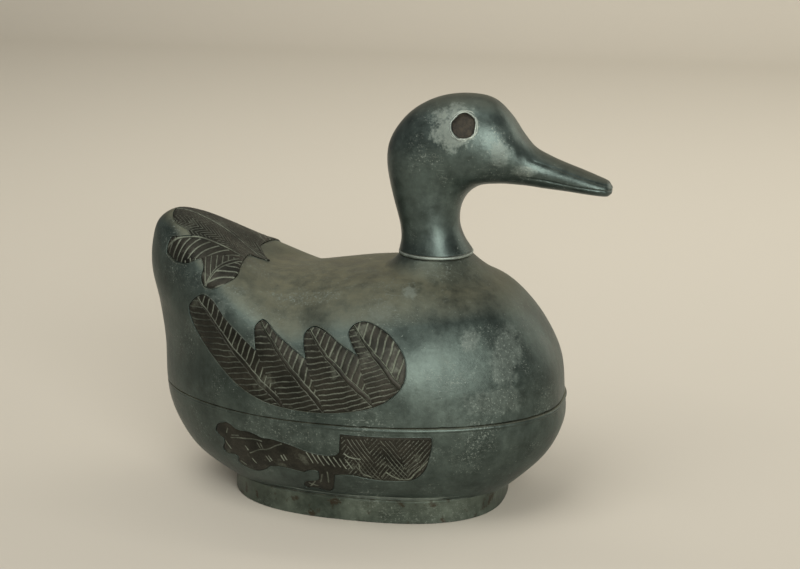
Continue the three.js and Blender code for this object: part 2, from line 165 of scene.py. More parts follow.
# Outlines of the plates: smooth runs that meet in corners. Wings and feet are seen from the
# side as X and Z, the tail from above as X and Y, right half first
WING = [
    [(6.0, 74.8), (2.7, 79.8), (1.4, 83.0), (3.0, 85.5), (6.4, 86.5), (10.6, 85.7), (16.2, 82.9),
     (20.8, 78.8), (24.0, 73.9), (24.7, 67.8), (23.5, 63.7), (20.1, 59.6), (15.2, 56.2), (9.3, 54.0),
     (2.3, 52.5), (-6.3, 51.4), (-15.8, 51.3), (-23.3, 51.8), (-32.8, 53.4), (-44.8, 58.4),
     (-53.7, 64.6), (-62.3, 72.0), (-68.6, 79.7), (-70.1, 84.2), (-66.9, 88.4), (-63.1, 90.4),
     (-58.4, 89.1), (-51.6, 83.6), (-44.0, 78.4), (-36.0, 73.2)],
    [(-36.0, 73.2), (-37.0, 78.6), (-37.3, 82.5), (-35.2, 84.5), (-32.9, 83.6), (-28.4, 80.2),
     (-22.4, 76.5), (-14.8, 71.9)],
    [(-14.8, 71.9), (-16.7, 78.4), (-16.7, 81.3), (-13.8, 83.3), (-10.4, 83.1), (-6.2, 81.5),
     (-0.7, 78.2), (6.0, 74.8)],
]
FOOT = [
    [(-56.4, 36.8), (-55.6, 38.2), (-53.2, 39.4), (-51.2, 40.1), (-49.1, 39.6), (-47.0, 38.2),
     (-44.6, 37.8), (-41.0, 38.2), (-37.6, 37.6), (-34.8, 36.6), (-30.8, 36.8), (-26.4, 36.2),
     (-21.0, 35.1), (-15.8, 33.5), (-11.6, 32.6), (-7.4, 32.5), (-4.3, 32.8), (-2.5, 33.4),
     (-1.3, 34.9)],
    [(-1.3, 34.9), (-1.0, 38.9), (-0.7, 42.7)],
    [(-0.7, 42.7), (5.3, 42.4), (15.2, 42.3), (34.8, 42.4)],
    [(34.8, 42.4), (34.8, 38.9), (34.3, 36.0), (33.5, 32.6), (32.4, 29.0), (30.2, 25.4),
     (26.6, 22.7), (22.6, 22.0), (18.7, 21.9), (13.7, 22.0), (8.8, 22.7), (3.9, 23.8), (-0.1, 24.1),
     (-4.5, 23.4)],
    [(-4.5, 23.4), (-5.6, 18.6), (-6.7, 15.3), (-8.4, 13.5), (-10.6, 13.4), (-13.4, 14.6),
     (-16.1, 14.4), (-18.6, 14.0), (-18.8, 16.0), (-17.2, 17.9), (-14.2, 18.7), (-11.9, 19.5),
     (-11.0, 22.7), (-11.3, 24.4), (-13.0, 24.9), (-15.8, 24.2), (-17.4, 23.2), (-19.2, 23.3),
     (-22.5, 23.7), (-25.7, 24.1), (-27.9, 24.2), (-30.3, 23.7), (-32.7, 23.2), (-34.5, 21.5),
     (-38.2, 19.4), (-40.7, 18.8), (-44.3, 19.4), (-47.9, 21.1), (-47.5, 24.0), (-49.0, 25.2),
     (-52.3, 24.9), (-54.1, 25.5), (-54.4, 27.2), (-53.1, 30.2), (-53.5, 32.0), (-55.2, 32.9),
     (-57.0, 34.6), (-56.4, 36.8)],
]
TAIL_HALF = [
    [(-46.1, 0.0), (-49.6, -3.0), (-52.5, -7.3), (-52.6, -12.1), (-51.7, -20.7), (-50.9, -29.2),
     (-54.5, -33.8), (-59.2, -35.0), (-63.2, -33.5), (-65.1, -30.9), (-64.8, -28.7), (-66.8, -25.0)],
    [(-66.8, -25.0), (-71.8, -25.9), (-77.1, -24.1), (-82.8, -20.0), (-84.8, -17.8), (-83.5, -16.4),
     (-78.8, -17.1), (-74.0, -16.6)],
    [(-74.0, -16.6), (-76.7, -14.1), (-82.6, -11.2), (-85.5, -7.8), (-87.2, 0.0)],
]


def spline(points, places, closed=False):
    """Points at places from 0 to 1 on a smooth curve through the given points"""
    points = np.asarray(points, float)
    spans = len(points) if closed else len(points) - 1
    place = np.asarray(places, float) * spans
    start = np.minimum(place.astype(int), spans - 1)
    share = (place - start)[:, None]
    if closed:
        row = lambda k: points[(start + k) % spans]
    else:
        ends = np.vstack([2 * points[0] - points[1], points, 2 * points[-1] - points[-2]])
        row = lambda k: ends[start + k + 1]
    a, b, c, d = row(-1), row(0), row(1), row(2)
    ab, bc, cd = (np.sum((q - p) ** 2, 1)[:, None] ** 0.25 for p, q in ((a, b), (b, c), (c, d)))
    leave = ((b - a) / ab - (c - a) / (ab + bc) + (c - b) / bc) * bc
    arrive = ((c - b) / bc - (d - b) / (bc + cd) + (d - c) / cd) * bc
    return (b + leave * share + (3 * (c - b) - 2 * leave - arrive) * share ** 2
            + (2 * (b - c) + leave + arrive) * share ** 3)


def signed_power(value, power):
    return np.sign(value) * np.abs(value) ** power


def oval(turns, half_length, half_width, fullness):
    """Points of an oval that is fuller than an ellipse where fullness is above 2"""
    return np.stack([
        half_length * signed_power(np.cos(turns), 2 / fullness),
        half_width * signed_power(np.sin(turns), 2 / fullness),
    ], 1)


def round_turns(count):
    return np.arange(count) / count * 2 * math.pi


def linked(name, data):
    """A new object in the scene"""
    thing = bpy.data.objects.new(name, data)
    bpy.context.collection.objects.link(thing)
    return thing


def piece_of(name, points, faces, edges=()):
    """A new object from points in millimetres"""
    mesh = bpy.data.meshes.new(name)
    mesh.from_pydata((np.asarray(points, float) * MM).tolist(), edges, [list(face) for face in faces])
    return linked(name, mesh)


def points_of(piece):
    flat = np.empty(3 * len(piece.data.vertices))
    piece.data.vertices.foreach_get("co", flat)
    return flat.reshape(-1, 3) / MM


def normals_of(piece):
    flat = np.empty(3 * len(piece.data.vertices))
    piece.data.vertex_normals.foreach_get("vector", flat)
    return flat.reshape(-1, 3)


def set_points(piece, points):
    piece.data.vertices.foreach_set("co", (points * MM).ravel())
    piece.data.update()


def facing_out(piece):
    """Turns every face of a closed piece outward"""
    work = bmesh.new()
    work.from_mesh(piece.data)
    bmesh.ops.recalc_face_normals(work, faces=work.faces)
    work.to_mesh(piece.data)
    work.free()
    return piece


def made_plain(piece):
    """Turns a piece and its modifiers into a plain mesh"""
    depsgraph = bpy.context.evaluated_depsgraph_get()
    result = bpy.data.meshes.new_from_object(piece.evaluated_get(depsgraph))
    piece.modifiers.clear()
    piece.data = result
    return piece


def combine(piece, tool, operation):
    """Cuts a piece with a tool, joins them, or keeps what they share; the tool is used up"""
    change = piece.modifiers.new(operation, "BOOLEAN")
    change.operation = operation
    change.solver = "MANIFOLD"
    change.object = tool
    made_plain(piece)
    bpy.data.objects.remove(tool)
    return piece


def block(low, high):
    """A box between two heights that is wider than the duck"""
    wide = 300
    corners = [(x, y, z) for z in (low, high) for y in (-wide, wide) for x in (-wide, wide)]
    faces = [(0, 2, 3, 1), (4, 5, 7, 6), (0, 1, 5, 4), (2, 6, 7, 3), (0, 4, 6, 2), (1, 3, 7, 5)]
    return piece_of("block", corners, faces)


def sheet_faces(rows, length, joined=False):
    """Faces between rows of points, each row closed on itself; joined, the last meets the first"""
    faces = []
    for j in range(rows if joined else rows - 1):
        low, high = j * length, (j + 1) % rows * length
        for i in range(length):
            after = (i + 1) % length
            faces.append((low + i, low + after, high + after, high + i))
    return faces


def capped_faces(rows, length):
    """Faces between rows of points, and fans to two more points that close the ends"""
    first_pole = rows * length
    last = first_pole - length
    faces = sheet_faces(rows, length)
    for i in range(length):
        after = (i + 1) % length
        faces += [(first_pole, after, i), (first_pole + 1, last + i, last + after)]
    return faces


def loft(name, rings, offset=0.0):
    """A solid through rings of points, moved outward by an offset and closed with flat ends"""
    rings = np.asarray(rings, float)
    rows, length = rings.shape[:2]
    skin = piece_of("skin", rings.reshape(-1, 3), sheet_faces(rows, length))
    points = points_of(skin) + offset * normals_of(skin)
    bpy.data.objects.remove(skin)
    middles = [points[:length].mean(0), points[-length:].mean(0)]
    return piece_of(name, np.vstack([points, middles]), capped_faces(rows, length))


def strip(name, sections):
    """A closed band: sections of points round a loop, each section closed on itself"""
    sections = np.asarray(sections, float)
    faces = sheet_faces(*sections.shape[:2], joined=True)
    return facing_out(piece_of(name, sections.reshape(-1, 3), faces))


def ragged(turns, seed, waves=(3, 5, 8, 13, 21)):
    """An uneven line round a loop, about -1 to 1, that closes on itself"""
    phases = np.random.default_rng(seed).uniform(0, 2 * math.pi, len(waves))
    return sum(np.sin(n * turns + p) / (1 + k) for k, (n, p) in enumerate(zip(waves, phases))) / 2


def body_skin(name, stations, swings, offset=0.0):
    """The whole body, bowl and lid in one, moved outward by an offset"""
    places = np.arange(stations) / stations
    eased = CREST
    for _ in range(FLANK_EASING):
        eased = (np.roll(eased, 1, 0) + 2 * eased + np.roll(eased, -1, 0)) / 4
    ridge = spline(CREST, places, closed=True) - BODY_MIDDLE
    flank = (spline(eased, places, closed=True) - BODY_MIDDLE) * FLANK_SWELL
    direction = ridge / np.linalg.norm(ridge, axis=1)[:, None]
    downward = np.maximum(0, -direction[:, 1])
    power = 2 / (SIDE_FULLNESS + (UNDER_FULLNESS - SIDE_FULLNESS) * downward ** 2)
    pinch = TAIL_PINCH * np.maximum(0, direction @ TAIL_DIRECTION) ** TAIL_FOCUS
    rows = []
    for j in range(1 - swings, swings):
        swing = j / swings * math.pi / 2
        reach = math.cos(swing)
        out = (flank + (ridge - flank) * reach ** 2) * (reach ** power)[:, None]
        side = BODY_HALF_WIDTH * signed_power(math.sin(swing), power) * (1 - pinch * reach ** 2)
        rows.append(np.stack([BODY_MIDDLE[0] + out[:, 0], side, BODY_MIDDLE[1] + out[:, 1]], 1))
    poles = [[BODY_MIDDLE[0], side, BODY_MIDDLE[1]] for side in (-BODY_HALF_WIDTH, BODY_HALF_WIDTH)]
    piece = piece_of(name, np.vstack(rows + [poles]), capped_faces(len(rows), stations))
    if offset:
        set_points(piece, points_of(piece) + offset * normals_of(piece))
    return piece


# Stations round the body and swings to each side: outside, inside, and where plates are laid
FINE = (320, 56)
PLAIN = (160, 28)
EXACT = (480, 96)

surface_piece = body_skin("surface", *EXACT)
SURFACE = BVHTree.FromPolygons(
    [tuple(p) for p in points_of(surface_piece)],
    [tuple(face.vertices) for face in surface_piece.data.polygons],
)
bpy.data.objects.remove(surface_piece)


def on_side(flat):
    """Points of the body's right side, from X and Z"""
    far, inward = -200.0, Vector((0, 1, 0))
    return np.array([SURFACE.ray_cast(Vector((x, far, z)), inward)[0][:] for x, z in flat])


def on_top(flat):
    """Points of the body's upper side, from X and Y"""
    far, downward = 300.0, Vector((0, 0, -1))
    return np.array([SURFACE.ray_cast(Vector((x, y, far)), downward)[0][:] for x, y in flat])


def outline_of(runs, spacing=0.4):
    """A closed outline of evenly spaced points along runs that meet in corners"""
    points = []
    for run in runs:
        line = spline(run, np.linspace(0, 1, 60 * (len(run) - 1))) if len(run) > 2 else np.array(run)
        along = np.concatenate([[0], np.cumsum(np.linalg.norm(np.diff(line, axis=0), axis=1))])
        steps = max(1, round(along[-1] / spacing))
        stops = np.linspace(0, along[-1], steps + 1)[:-1]
        points.append(np.stack([np.interp(stops, along, line[:, k]) for k in (0, 1)], 1))
    return np.vstack(points)


def inside(points, outline):
    """Whether each point lies within an outline"""
    crossings = np.zeros(len(points), int)
    for a, b in zip(outline, np.roll(outline, -1, 0)):
        if a[1] == b[1]:
            continue
        spans = (a[1] > points[:, 1]) != (b[1] > points[:, 1])
        x = a[0] + (points[:, 1] - a[1]) / (b[1] - a[1]) * (b[0] - a[0])
        crossings += spans & (points[:, 0] < x)
    return crossings % 2 == 1


def line_distance(points, line, closed=False):
    """How far each point is from a line through a list of points"""
    nearest = np.full(len(points), 1e9)
    line = np.asarray(line, float)
    ends = np.roll(line, -1, 0) if closed else line[1:]
    for a, b in zip(line, ends):
        along = b - a
        share = np.clip((points - a) @ along / max(along @ along, 1e-9), 0, 1)
        nearest = np.minimum(nearest, np.linalg.norm(points - a - share[:, None] * along, axis=1))
    return nearest


def widened(outline, distance):
    """An outline moved outward by a distance, without the points that would cross in its corners"""
    before, after = np.roll(outline, 1, 0), np.roll(outline, -1, 0)
    area = np.sum(before[:, 0] * outline[:, 1] - outline[:, 0] * before[:, 1])
    along = (outline - before) / np.linalg.norm(outline - before, axis=1)[:, None]
    along = along + (after - outline) / np.linalg.norm(after - outline, axis=1)[:, None]
    along /= np.linalg.norm(along, axis=1)[:, None]
    moved = outline + math.copysign(distance, area) * np.stack([along[:, 1], -along[:, 0]], 1)
    return moved[line_distance(moved, outline, closed=True) > 0.95 * distance]


def tiled(outline, spacing):
    """Points and triangles that fill an outline; the outline's own points come first"""
    low, high = outline.min(0), outline.max(0)
    grid = np.stack(np.meshgrid(
        np.arange(low[0], high[0], spacing), np.arange(low[1], high[1], spacing),
    ), -1).reshape(-1, 2)
    grid = grid[inside(grid, outline)]
    grid = grid[line_distance(grid, outline, closed=True) > 0.45 * spacing]
    points = [Vector(p) for p in np.vstack([outline, grid])]
    edges = [(i, (i + 1) % len(outline)) for i in range(len(outline))]
    flat, _, faces, *_ = geometry.delaunay_2d_cdt(points, edges, [], 1, 1e-6)
    return np.array([tuple(p) for p in flat]), [tuple(face) for face in faces]


def outward_normals(points, faces):
    """The points of a sheet on the body, and their normals, turned away from the body's middle"""
    skin = piece_of("skin", points, faces)
    base, normals = points_of(skin), normals_of(skin)
    bpy.data.objects.remove(skin)
    middle = np.array([BODY_MIDDLE[0], 0, BODY_MIDDLE[1]])
    return base, normals * math.copysign(1, np.sum(normals * (base - middle)))


def draped_solid(name, outline, drape, low, high, spacing, relief=None):
    """A solid that follows the body between two offsets, its top carved by a relief"""
    flat, faces = tiled(outline, spacing)
    rim = len(outline)
    base, normals = outward_normals(drape(flat), faces)
    height, chased = relief(flat, outline) if relief else (np.zeros(len(flat)), np.zeros(len(flat)))
    top = base + normals * (high + height)[:, None]
    floor_flat, floor_faces = tiled(outline, FLOOR_GRAIN)
    floor, floor_normals = outward_normals(drape(floor_flat), floor_faces)
    floor = floor + floor_normals * low
    floor[:rim] = base[:rim] + normals[:rim] * low
    shift = len(top)
    sides = [(i, (i + 1) % rim, shift + (i + 1) % rim, shift + i) for i in range(rim)]
    below = [tuple(shift + v for v in reversed(face)) for face in floor_faces]
    piece = facing_out(piece_of(name, np.vstack([top, floor]), list(faces) + sides + below))
    layer = piece.data.attributes.new("chased", "FLOAT", "POINT")
    layer.data.foreach_set("value", np.concatenate([chased, np.zeros(len(floor))]))
    return piece


def mirrored(piece, name):
    """The other side's copy of a piece"""
    twin = linked(name, piece.data.copy())
    set_points(twin, points_of(piece) * [1, -1, 1])
    twin.data.flip_normals()
    return twin


# Chasing: each relief gives the height of the carved surface and how strong its cuts are

# How the edge of each plate is rounded down: depth and width
EDGE_DEPTH = 0.16
EDGE_WIDTH = 0.45
# How far the lines waver, and over what length
WING_WAVER = (0.22, 7.0)
WING_FINE_WAVER = (0.1, 2.2)
TAIL_WAVER = (0.15, 5.0)
FOOT_WAVER = (0.15, 4.0)


def groove(distance, width):
    """1 in the middle of a line of a given width, falling to 0 at its edges"""
    return np.clip(1 - (distance / (width / 2)) ** 2, 0, 1)


def wavered(points, amount, length):
    """A small smooth shift of each point, so that no line is dead straight"""
    x, y = points[:, 0] / length, points[:, 1] / length
    shift = [np.sin(2.1 * y + 1.3 * np.sin(x)), np.sin(2.4 * x + 1.7 * np.sin(y))]
    return points + amount * np.stack(shift, 1)


def across(points, degrees):
    """Each point's place square to lines that rise at an angle"""
    turn = np.radians(degrees)
    return points[:, 1] * np.cos(turn) - points[:, 0] * np.sin(turn)


def repeated(place, spacing):
    """Distance to the nearest of evenly spaced lines"""
    return np.abs((place / spacing) % 1 - 0.5) * spacing


def hatched(place, spacing, width):
    """Evenly spaced cuts"""
    return groove(repeated(place, spacing), width)


def slanted(points, slant, spacing, width):
    """Evenly spaced cuts that rise at an angle"""
    return hatched(across(points, slant), spacing, width)


def slope(place, spacing):
    """A saw profile between lines: each barb leans over the next, -0.5 to 0.5"""
    return (place / spacing + 0.5) % 1 - 0.5


def edge_fall(flat, outline):
    """How far a plate is rounded down towards its edge"""
    return -EDGE_DEPTH * np.exp(-(line_distance(flat, outline, closed=True) / EDGE_WIDTH) ** 2)


def cuts_along(points, lines, width, steps):
    """Cuts that follow a list of lines; a line of more than two points is a curve"""
    cut = np.zeros(len(points))
    for line in lines:
        curve = spline(line, np.linspace(0, 1, steps)) if len(line) > 2 else np.array(line)
        cut = np.maximum(cut, groove(line_distance(points, curve), width))
    return cut


def quill_lines(points, tip, root, width):
    """Which side of a quill each point is on and how far, half the quill's width there, a quarter
    of the whole at the tip, and each point's share of the way from tip to root"""
    tip, root = np.array(tip), np.array(root)
    length = np.linalg.norm(root - tip)
    along = (root - tip) / length
    share = (points - tip) @ along / length
    side = (points - tip) @ np.array([-along[1], along[0]])
    half = width / 2 * np.clip(0.25 + 1.1 * share, 0.25, 1)
    return side, half, share


def quill_swell(side, half, height):
    """The rounded back of a quill between its two lines"""
    return np.where(np.abs(side) < half, height * (1 - (side / half) ** 2), 0)


# Feathers of the wing: quill from tip to root, and the line between one feather and the next
WING_QUILLS = [((-65.2, 88.6), (-25.0, 53.2)), ((-34.7, 83.2), (-7.1, 52.6)),
               ((-15.3, 82.4), (13.1, 55.8)), ((3.4, 84.9), (22.9, 63.4))]
WING_PARTINGS = [((-23.4, 51.0), (-36.0, 73.2), (-42.3, 84.6)),
                 ((-6.9, 51.0), (-14.8, 71.9), (-20.4, 82.6)),
                 ((13.4, 53.0), (6.0, 74.8), (-3.6, 84.6))]
WING_QUILL_WIDTH = 2.2
WING_QUILL_LINE = 0.45
WING_QUILL_MARGIN = 0.25
WING_QUILL_DEPTH = 0.3
WING_QUILL_SWELL = 0.22
WING_BARB_DEPTH = 0.22
WING_BARB_LEAN = 0.2
# Above a quill the barbs stand steep, below it they lie level: slant at the feather's tip, change
# of slant towards its root, shift from one feather to the next, spacing and width
STEEP_BARBS = (74, -4, 0.7, 2.45, 0.7)
LEVEL_BARBS = (10, 6, 0.9, 2.2, 0.62)
# The level barbs are drawn fainter, and all cuts fade from the front of the wing to its rear
LEVEL_STRENGTH = 0.6
WING_FADE = ([-60, -20, 20], [0.75, 0.9, 1.0])


def barb_row(points, share, feather, slant, turning, shift, spacing, width):
    """The cuts of one row of barbs, and how each barb leans over the next"""
    place = across(points, slant + turning * share) + shift * feather
    return hatched(place, spacing, width), slope(place, spacing)


def wing_relief(flat, outline):
    points = wavered(wavered(flat, *WING_WAVER), *WING_FINE_WAVER)
    feather = np.zeros(len(points), int)
    for parting in WING_PARTINGS:
        xs, zs = zip(*parting)
        feather += points[:, 0] > np.interp(points[:, 1], zs, xs)
    height = edge_fall(flat, outline)
    chased = np.zeros(len(points))
    for k, (tip, root) in enumerate(WING_QUILLS):
        mine = feather == k
        side, half, share = quill_lines(points, tip, root, WING_QUILL_WIDTH)
        above = side > 0
        lines = groove(np.abs(side) - half, WING_QUILL_LINE) * (share > -0.02)
        steep, steep_lean = barb_row(points, share, k, *STEEP_BARBS)
        level, level_lean = barb_row(points, share, k, *LEVEL_BARBS)
        beside = np.abs(side) > half + WING_QUILL_MARGIN
        barbs = np.where(above, steep, level) * beside
        lean = WING_BARB_LEAN * np.where(above, steep_lean, level_lean) * beside
        raised = quill_swell(side, half, WING_QUILL_SWELL) + lean
        height += mine * (raised - WING_QUILL_DEPTH * lines - WING_BARB_DEPTH * barbs * (1 - lines))
        strong = np.where(above, 1.0, LEVEL_STRENGTH) * np.interp(points[:, 0], *WING_FADE)
        chased = np.where(mine, strong * np.maximum(lines, barbs), chased)
    return height, chased


# Feathers of the tail's right half, seen from above: the middle one, the outer one and the lobe
# beside it, and the lines that part them
TAIL_QUILLS = [((-86.0, 0.0), (-50.0, 0.0)), ((-83.8, -18.0), (-54.0, -14.1)),
               ((-62.3, -33.4), (-52.5, -17.8))]
TAIL_PARTINGS = [((-74.0, -16.4), (-50.0, -6.0)), ((-66.8, -25.0), (-52.0, -17.0))]
MIDDLE, OUTER, LOBE = range(3)
TAIL_QUILL_WIDTH = 1.6
TAIL_QUILL_MARGIN = 0.2
TAIL_QUILL_DEPTH = 0.26
TAIL_QUILL_SWELL = 0.1
TAIL_BARB_DEPTH = 0.24
TAIL_BARB_STRENGTH = 0.8
# Chevrons of the middle feather: how steep, how far apart their points, spacing and width
CHEVRON_SLOPE = 1.2
CHEVRON_SPAN = 7.0
CHEVRONS = (1.9, 0.5)
CHEVRON_STRENGTH = 0.8
# Slant, spacing and width of the barbs on the outer feather and on both sides of the lobe
OUTER_BARBS = (52, 2.9, 0.8)
LOBE_OUTER_BARBS = (15, 2.9, 0.8)
LOBE_INNER_BARBS = (105, 2.2, 0.6)
# The lip that stands up along the front of the tail plate
TAIL_LIP = [(-51.6, -29.0), (-52.7, -12.0), (-52.6, -7.3), (-46.0, 0.0)]
TAIL_LIP_WIDTH = 2.2
TAIL_LIP_HEIGHT = 0.6


def tail_relief(flat, outline):
    points = wavered(np.stack([flat[:, 0], -np.abs(flat[:, 1])], 1), *TAIL_WAVER)
    points[:, 1] = -np.abs(points[:, 1])
    feather = np.zeros(len(points), int)
    for parting in TAIL_PARTINGS:
        feather += points[:, 1] < np.interp(points[:, 0], *zip(*parting))
    folded = CHEVRON_SLOPE * repeated(points[:, 1], CHEVRON_SPAN)
    chevrons = CHEVRON_STRENGTH * hatched(points[:, 0] + folded, *CHEVRONS)
    height = edge_fall(flat, outline)
    chased = np.zeros(len(points))
    for k, (tip, root) in enumerate(TAIL_QUILLS):
        mine = feather == k
        side, half, _ = quill_lines(points, tip, root, TAIL_QUILL_WIDTH)
        if k == OUTER:
            lines = groove(np.abs(side), 0.9)
        else:
            lines = groove(np.abs(side) - half, 0.5)
        inner = slanted(points, *LOBE_INNER_BARBS) if k == LOBE else chevrons
        outer = slanted(points, *(LOBE_OUTER_BARBS if k == LOBE else OUTER_BARBS))
        beside = np.abs(side) > half + TAIL_QUILL_MARGIN
        barbs = np.where((side < 0) & (k != MIDDLE), outer, inner) * beside
        raised = quill_swell(side, half, TAIL_QUILL_SWELL)
        height += mine * (raised - TAIL_QUILL_DEPTH * lines - TAIL_BARB_DEPTH * barbs * (1 - lines))
        chased = np.where(mine, np.maximum(lines, TAIL_BARB_STRENGTH * barbs), chased)
    lip_line = np.vstack([TAIL_LIP, (np.array(TAIL_LIP[:-1]) * [1, -1])[::-1]])
    lip = np.exp(-(line_distance(flat, lip_line) / TAIL_LIP_WIDTH) ** 2)
    return height + TAIL_LIP_HEIGHT * lip, chased


LEG_LINES = [
    [(-49.8, 33.3), (-43.8, 34.5), (-39.0, 35.3), (-35.0, 34.9)], [(-49.0, 34.7), (-45.6, 35.2)],
    [(-41.2, 28.0), (-36.8, 30.3), (-32.5, 31.8), (-28.9, 34.0), (-26.0, 35.2)],
    [(-35.7, 33.6), (-34.6, 31.1)], [(-37.2, 33.6), (-36.0, 31.4)], [(-33.6, 27.9), (-32.3, 25.6)],
    [(-32.4, 28.5), (-31.3, 26.5)], [(-26.6, 29.6), (-25.5, 27.3)], [(-25.4, 30.1), (-24.3, 27.9)],
    [(-50.8, 37.5), (-51.7, 35.5)], [(-52.7, 31.0), (-50.4, 27.8)], [(-43.1, 31.0), (-41.9, 29.4)],
    [(-40.5, 25.3), (-39.1, 23.3)], [(-46.7, 22.2), (-44.5, 20.7)], [(-16.6, 17.1), (-12.8, 15.9)],
    [(-16.2, 15.2), (-13.7, 18.4)], [(-9.9, 22.9), (-11.0, 18.5)], [(-7.5, 24.6), (-7.6, 19.0)],
]
SHANK_LINES = 8
SHANK_START = np.array([-15.4, 33.0])
SHANK_STEP = np.array([2.3, -0.2])
WEB_ARCS = [
    [(0.4, 34.5), (2.3, 32.9), (4.7, 32.2), (6.7, 32.0)],
    [(6.0, 29.5), (6.3, 27.1), (7.6, 24.7), (10.4, 23.4)],
    [(16.6, 26.1), (18.9, 23.9), (22.1, 22.6), (25.6, 23.2), (28.4, 26.2), (31.5, 30.2), (33.5, 32.1)],
]
# The web is hatched in upright bands, each with its right edge and the slant of its strokes.
# Hatching has a spacing and a width, and the crossing strokes of the low web a slant before them
WEB_BANDS = [(3.3, 52), (11.6, -58), (16.8, 50), (22.8, -56), (29.0, 48), (40.0, 52)]
WEB_LEFT = -0.4
WEB_TOP = 41.6
HATCH = (1.45, 0.38)
HATCH_SHIFT = 0.4
HATCH_STRENGTH = 0.65
CROSSING = (56, 1.6, 0.36)
CROSSING_STRENGTH = 0.5
FOOT_LINE = 0.7
FOOT_CUT_DEPTH = 0.26


def foot_relief(flat, outline):
    points = wavered(flat, *FOOT_WAVER)
    x, z = points[:, 0], points[:, 1]
    cut = np.maximum(cuts_along(points, LEG_LINES, FOOT_LINE, 16),
                     cuts_along(points, WEB_ARCS, FOOT_LINE, 24))
    for k in range(SHANK_LINES):
        top = SHANK_START + k * SHANK_STEP
        stroke = [top, top + (2.6, -4.6 + 0.5 * (k % 2))]
        cut = np.maximum(cut, cuts_along(points, [stroke], 0.6, 2))
    leaning = x + 0.25 * (z - 33)
    left = WEB_LEFT
    for k, (right, slant) in enumerate(WEB_BANDS):
        mine = (leaning > left + 0.25) & (leaning < right - 0.1)
        mine &= (x > -0.2) & (z < WEB_TOP - 0.5 * (k % 2))
        strokes = hatched(across(points, slant) + HATCH_SHIFT * k, *HATCH)
        cut = np.maximum(cut, HATCH_STRENGTH * mine * strokes)
        left = right
    low_web = (x > 4.5) & (x < 30) & (z < 30.5)
    cut = np.maximum(cut, CROSSING_STRENGTH * low_web * slanted(points, *CROSSING))
    return edge_fall(flat, outline) - FOOT_CUT_DEPTH * cut, cut


def linear(hex_colour, alpha=1.0):
    """The linear colour of an sRGB hex value"""
    parts = [int(hex_colour[k:k + 2], 16) / 255 for k in (1, 3, 5)]
    return [p / 12.92 if p <= 0.04045 else ((p + 0.055) / 1.055) ** 2.4 for p in parts] + [alpha]


def add(tree, kind, inputs=(), output=0, **settings):
    """Adds a node with its settings, sets or links its inputs, and gives one of its outputs"""
    made = tree.nodes.new(kind)
    for key, value in settings.items():
        setattr(made, key, value)
    for key, value in inputs.items() if isinstance(inputs, dict) else enumerate(inputs):
        if isinstance(value, bpy.types.NodeSocket):
            tree.links.new(value, made.inputs[key])
        else:
            made.inputs[key].default_value = value
    return made.outputs[output] if len(made.outputs) else None


def new_material(name):
    """An empty material and its node tree"""
    material = bpy.data.materials.new(name)
    material.use_nodes = True
    material.node_tree.nodes.clear()
    return material, material.node_tree


def per(size_mm):
    """A texture scale whose features are about a size in millimetres"""
    return 1 / (size_mm * MM)


NOISE, RANGE, MATH, MIX = "ShaderNodeTexNoise", "ShaderNodeMapRange", "ShaderNodeMath", "ShaderNodeMix"
VECTOR, BUMP, SHADER = "ShaderNodeVectorMath", "ShaderNodeBump", "ShaderNodeBsdfPrincipled"
TIMES, PLUS, MORE = {"operation": "MULTIPLY"}, {"operation": "ADD"}, {"operation": "MAXIMUM"}
LAID_OVER = {"data_type": "RGBA"}
SHADED = {"data_type": "RGBA", "blend_type": "MULTIPLY"}

# Size in millimetres, detail and harshness of what mottles the pewter: clouds, blotches, mottle,
# patches of wear, rust, dents and specks of bloom. Real specks are finer than 0.9 mm and are
# drawn this coarse to show
PEWTER_BLOTS = [(24, 5, 0.6), (6, 5, 0.68), (1.9, 5, 0.7), (15, 3, 0.5), (5, 3, 0.6), (13, 2, 0.5),
                (0.9, 3, 0.7)]
# The same of what mottles the brass: clouds, patches of dust and grain
BRASS_BLOTS = [(11, 4, 0.6), (9, 4, 0.6), (1.2, 5, 0.7)]
SCRATCH_TURNS = [(0.3, 0.5, 0.7), (1.1, -0.4, 2.2)]


def cloudy(place, size_mm, detail, harshness):
    """What a cloudy pattern is given"""
    return {"Vector": place, "Scale": per(size_mm), "Detail": detail, "Roughness": harshness}


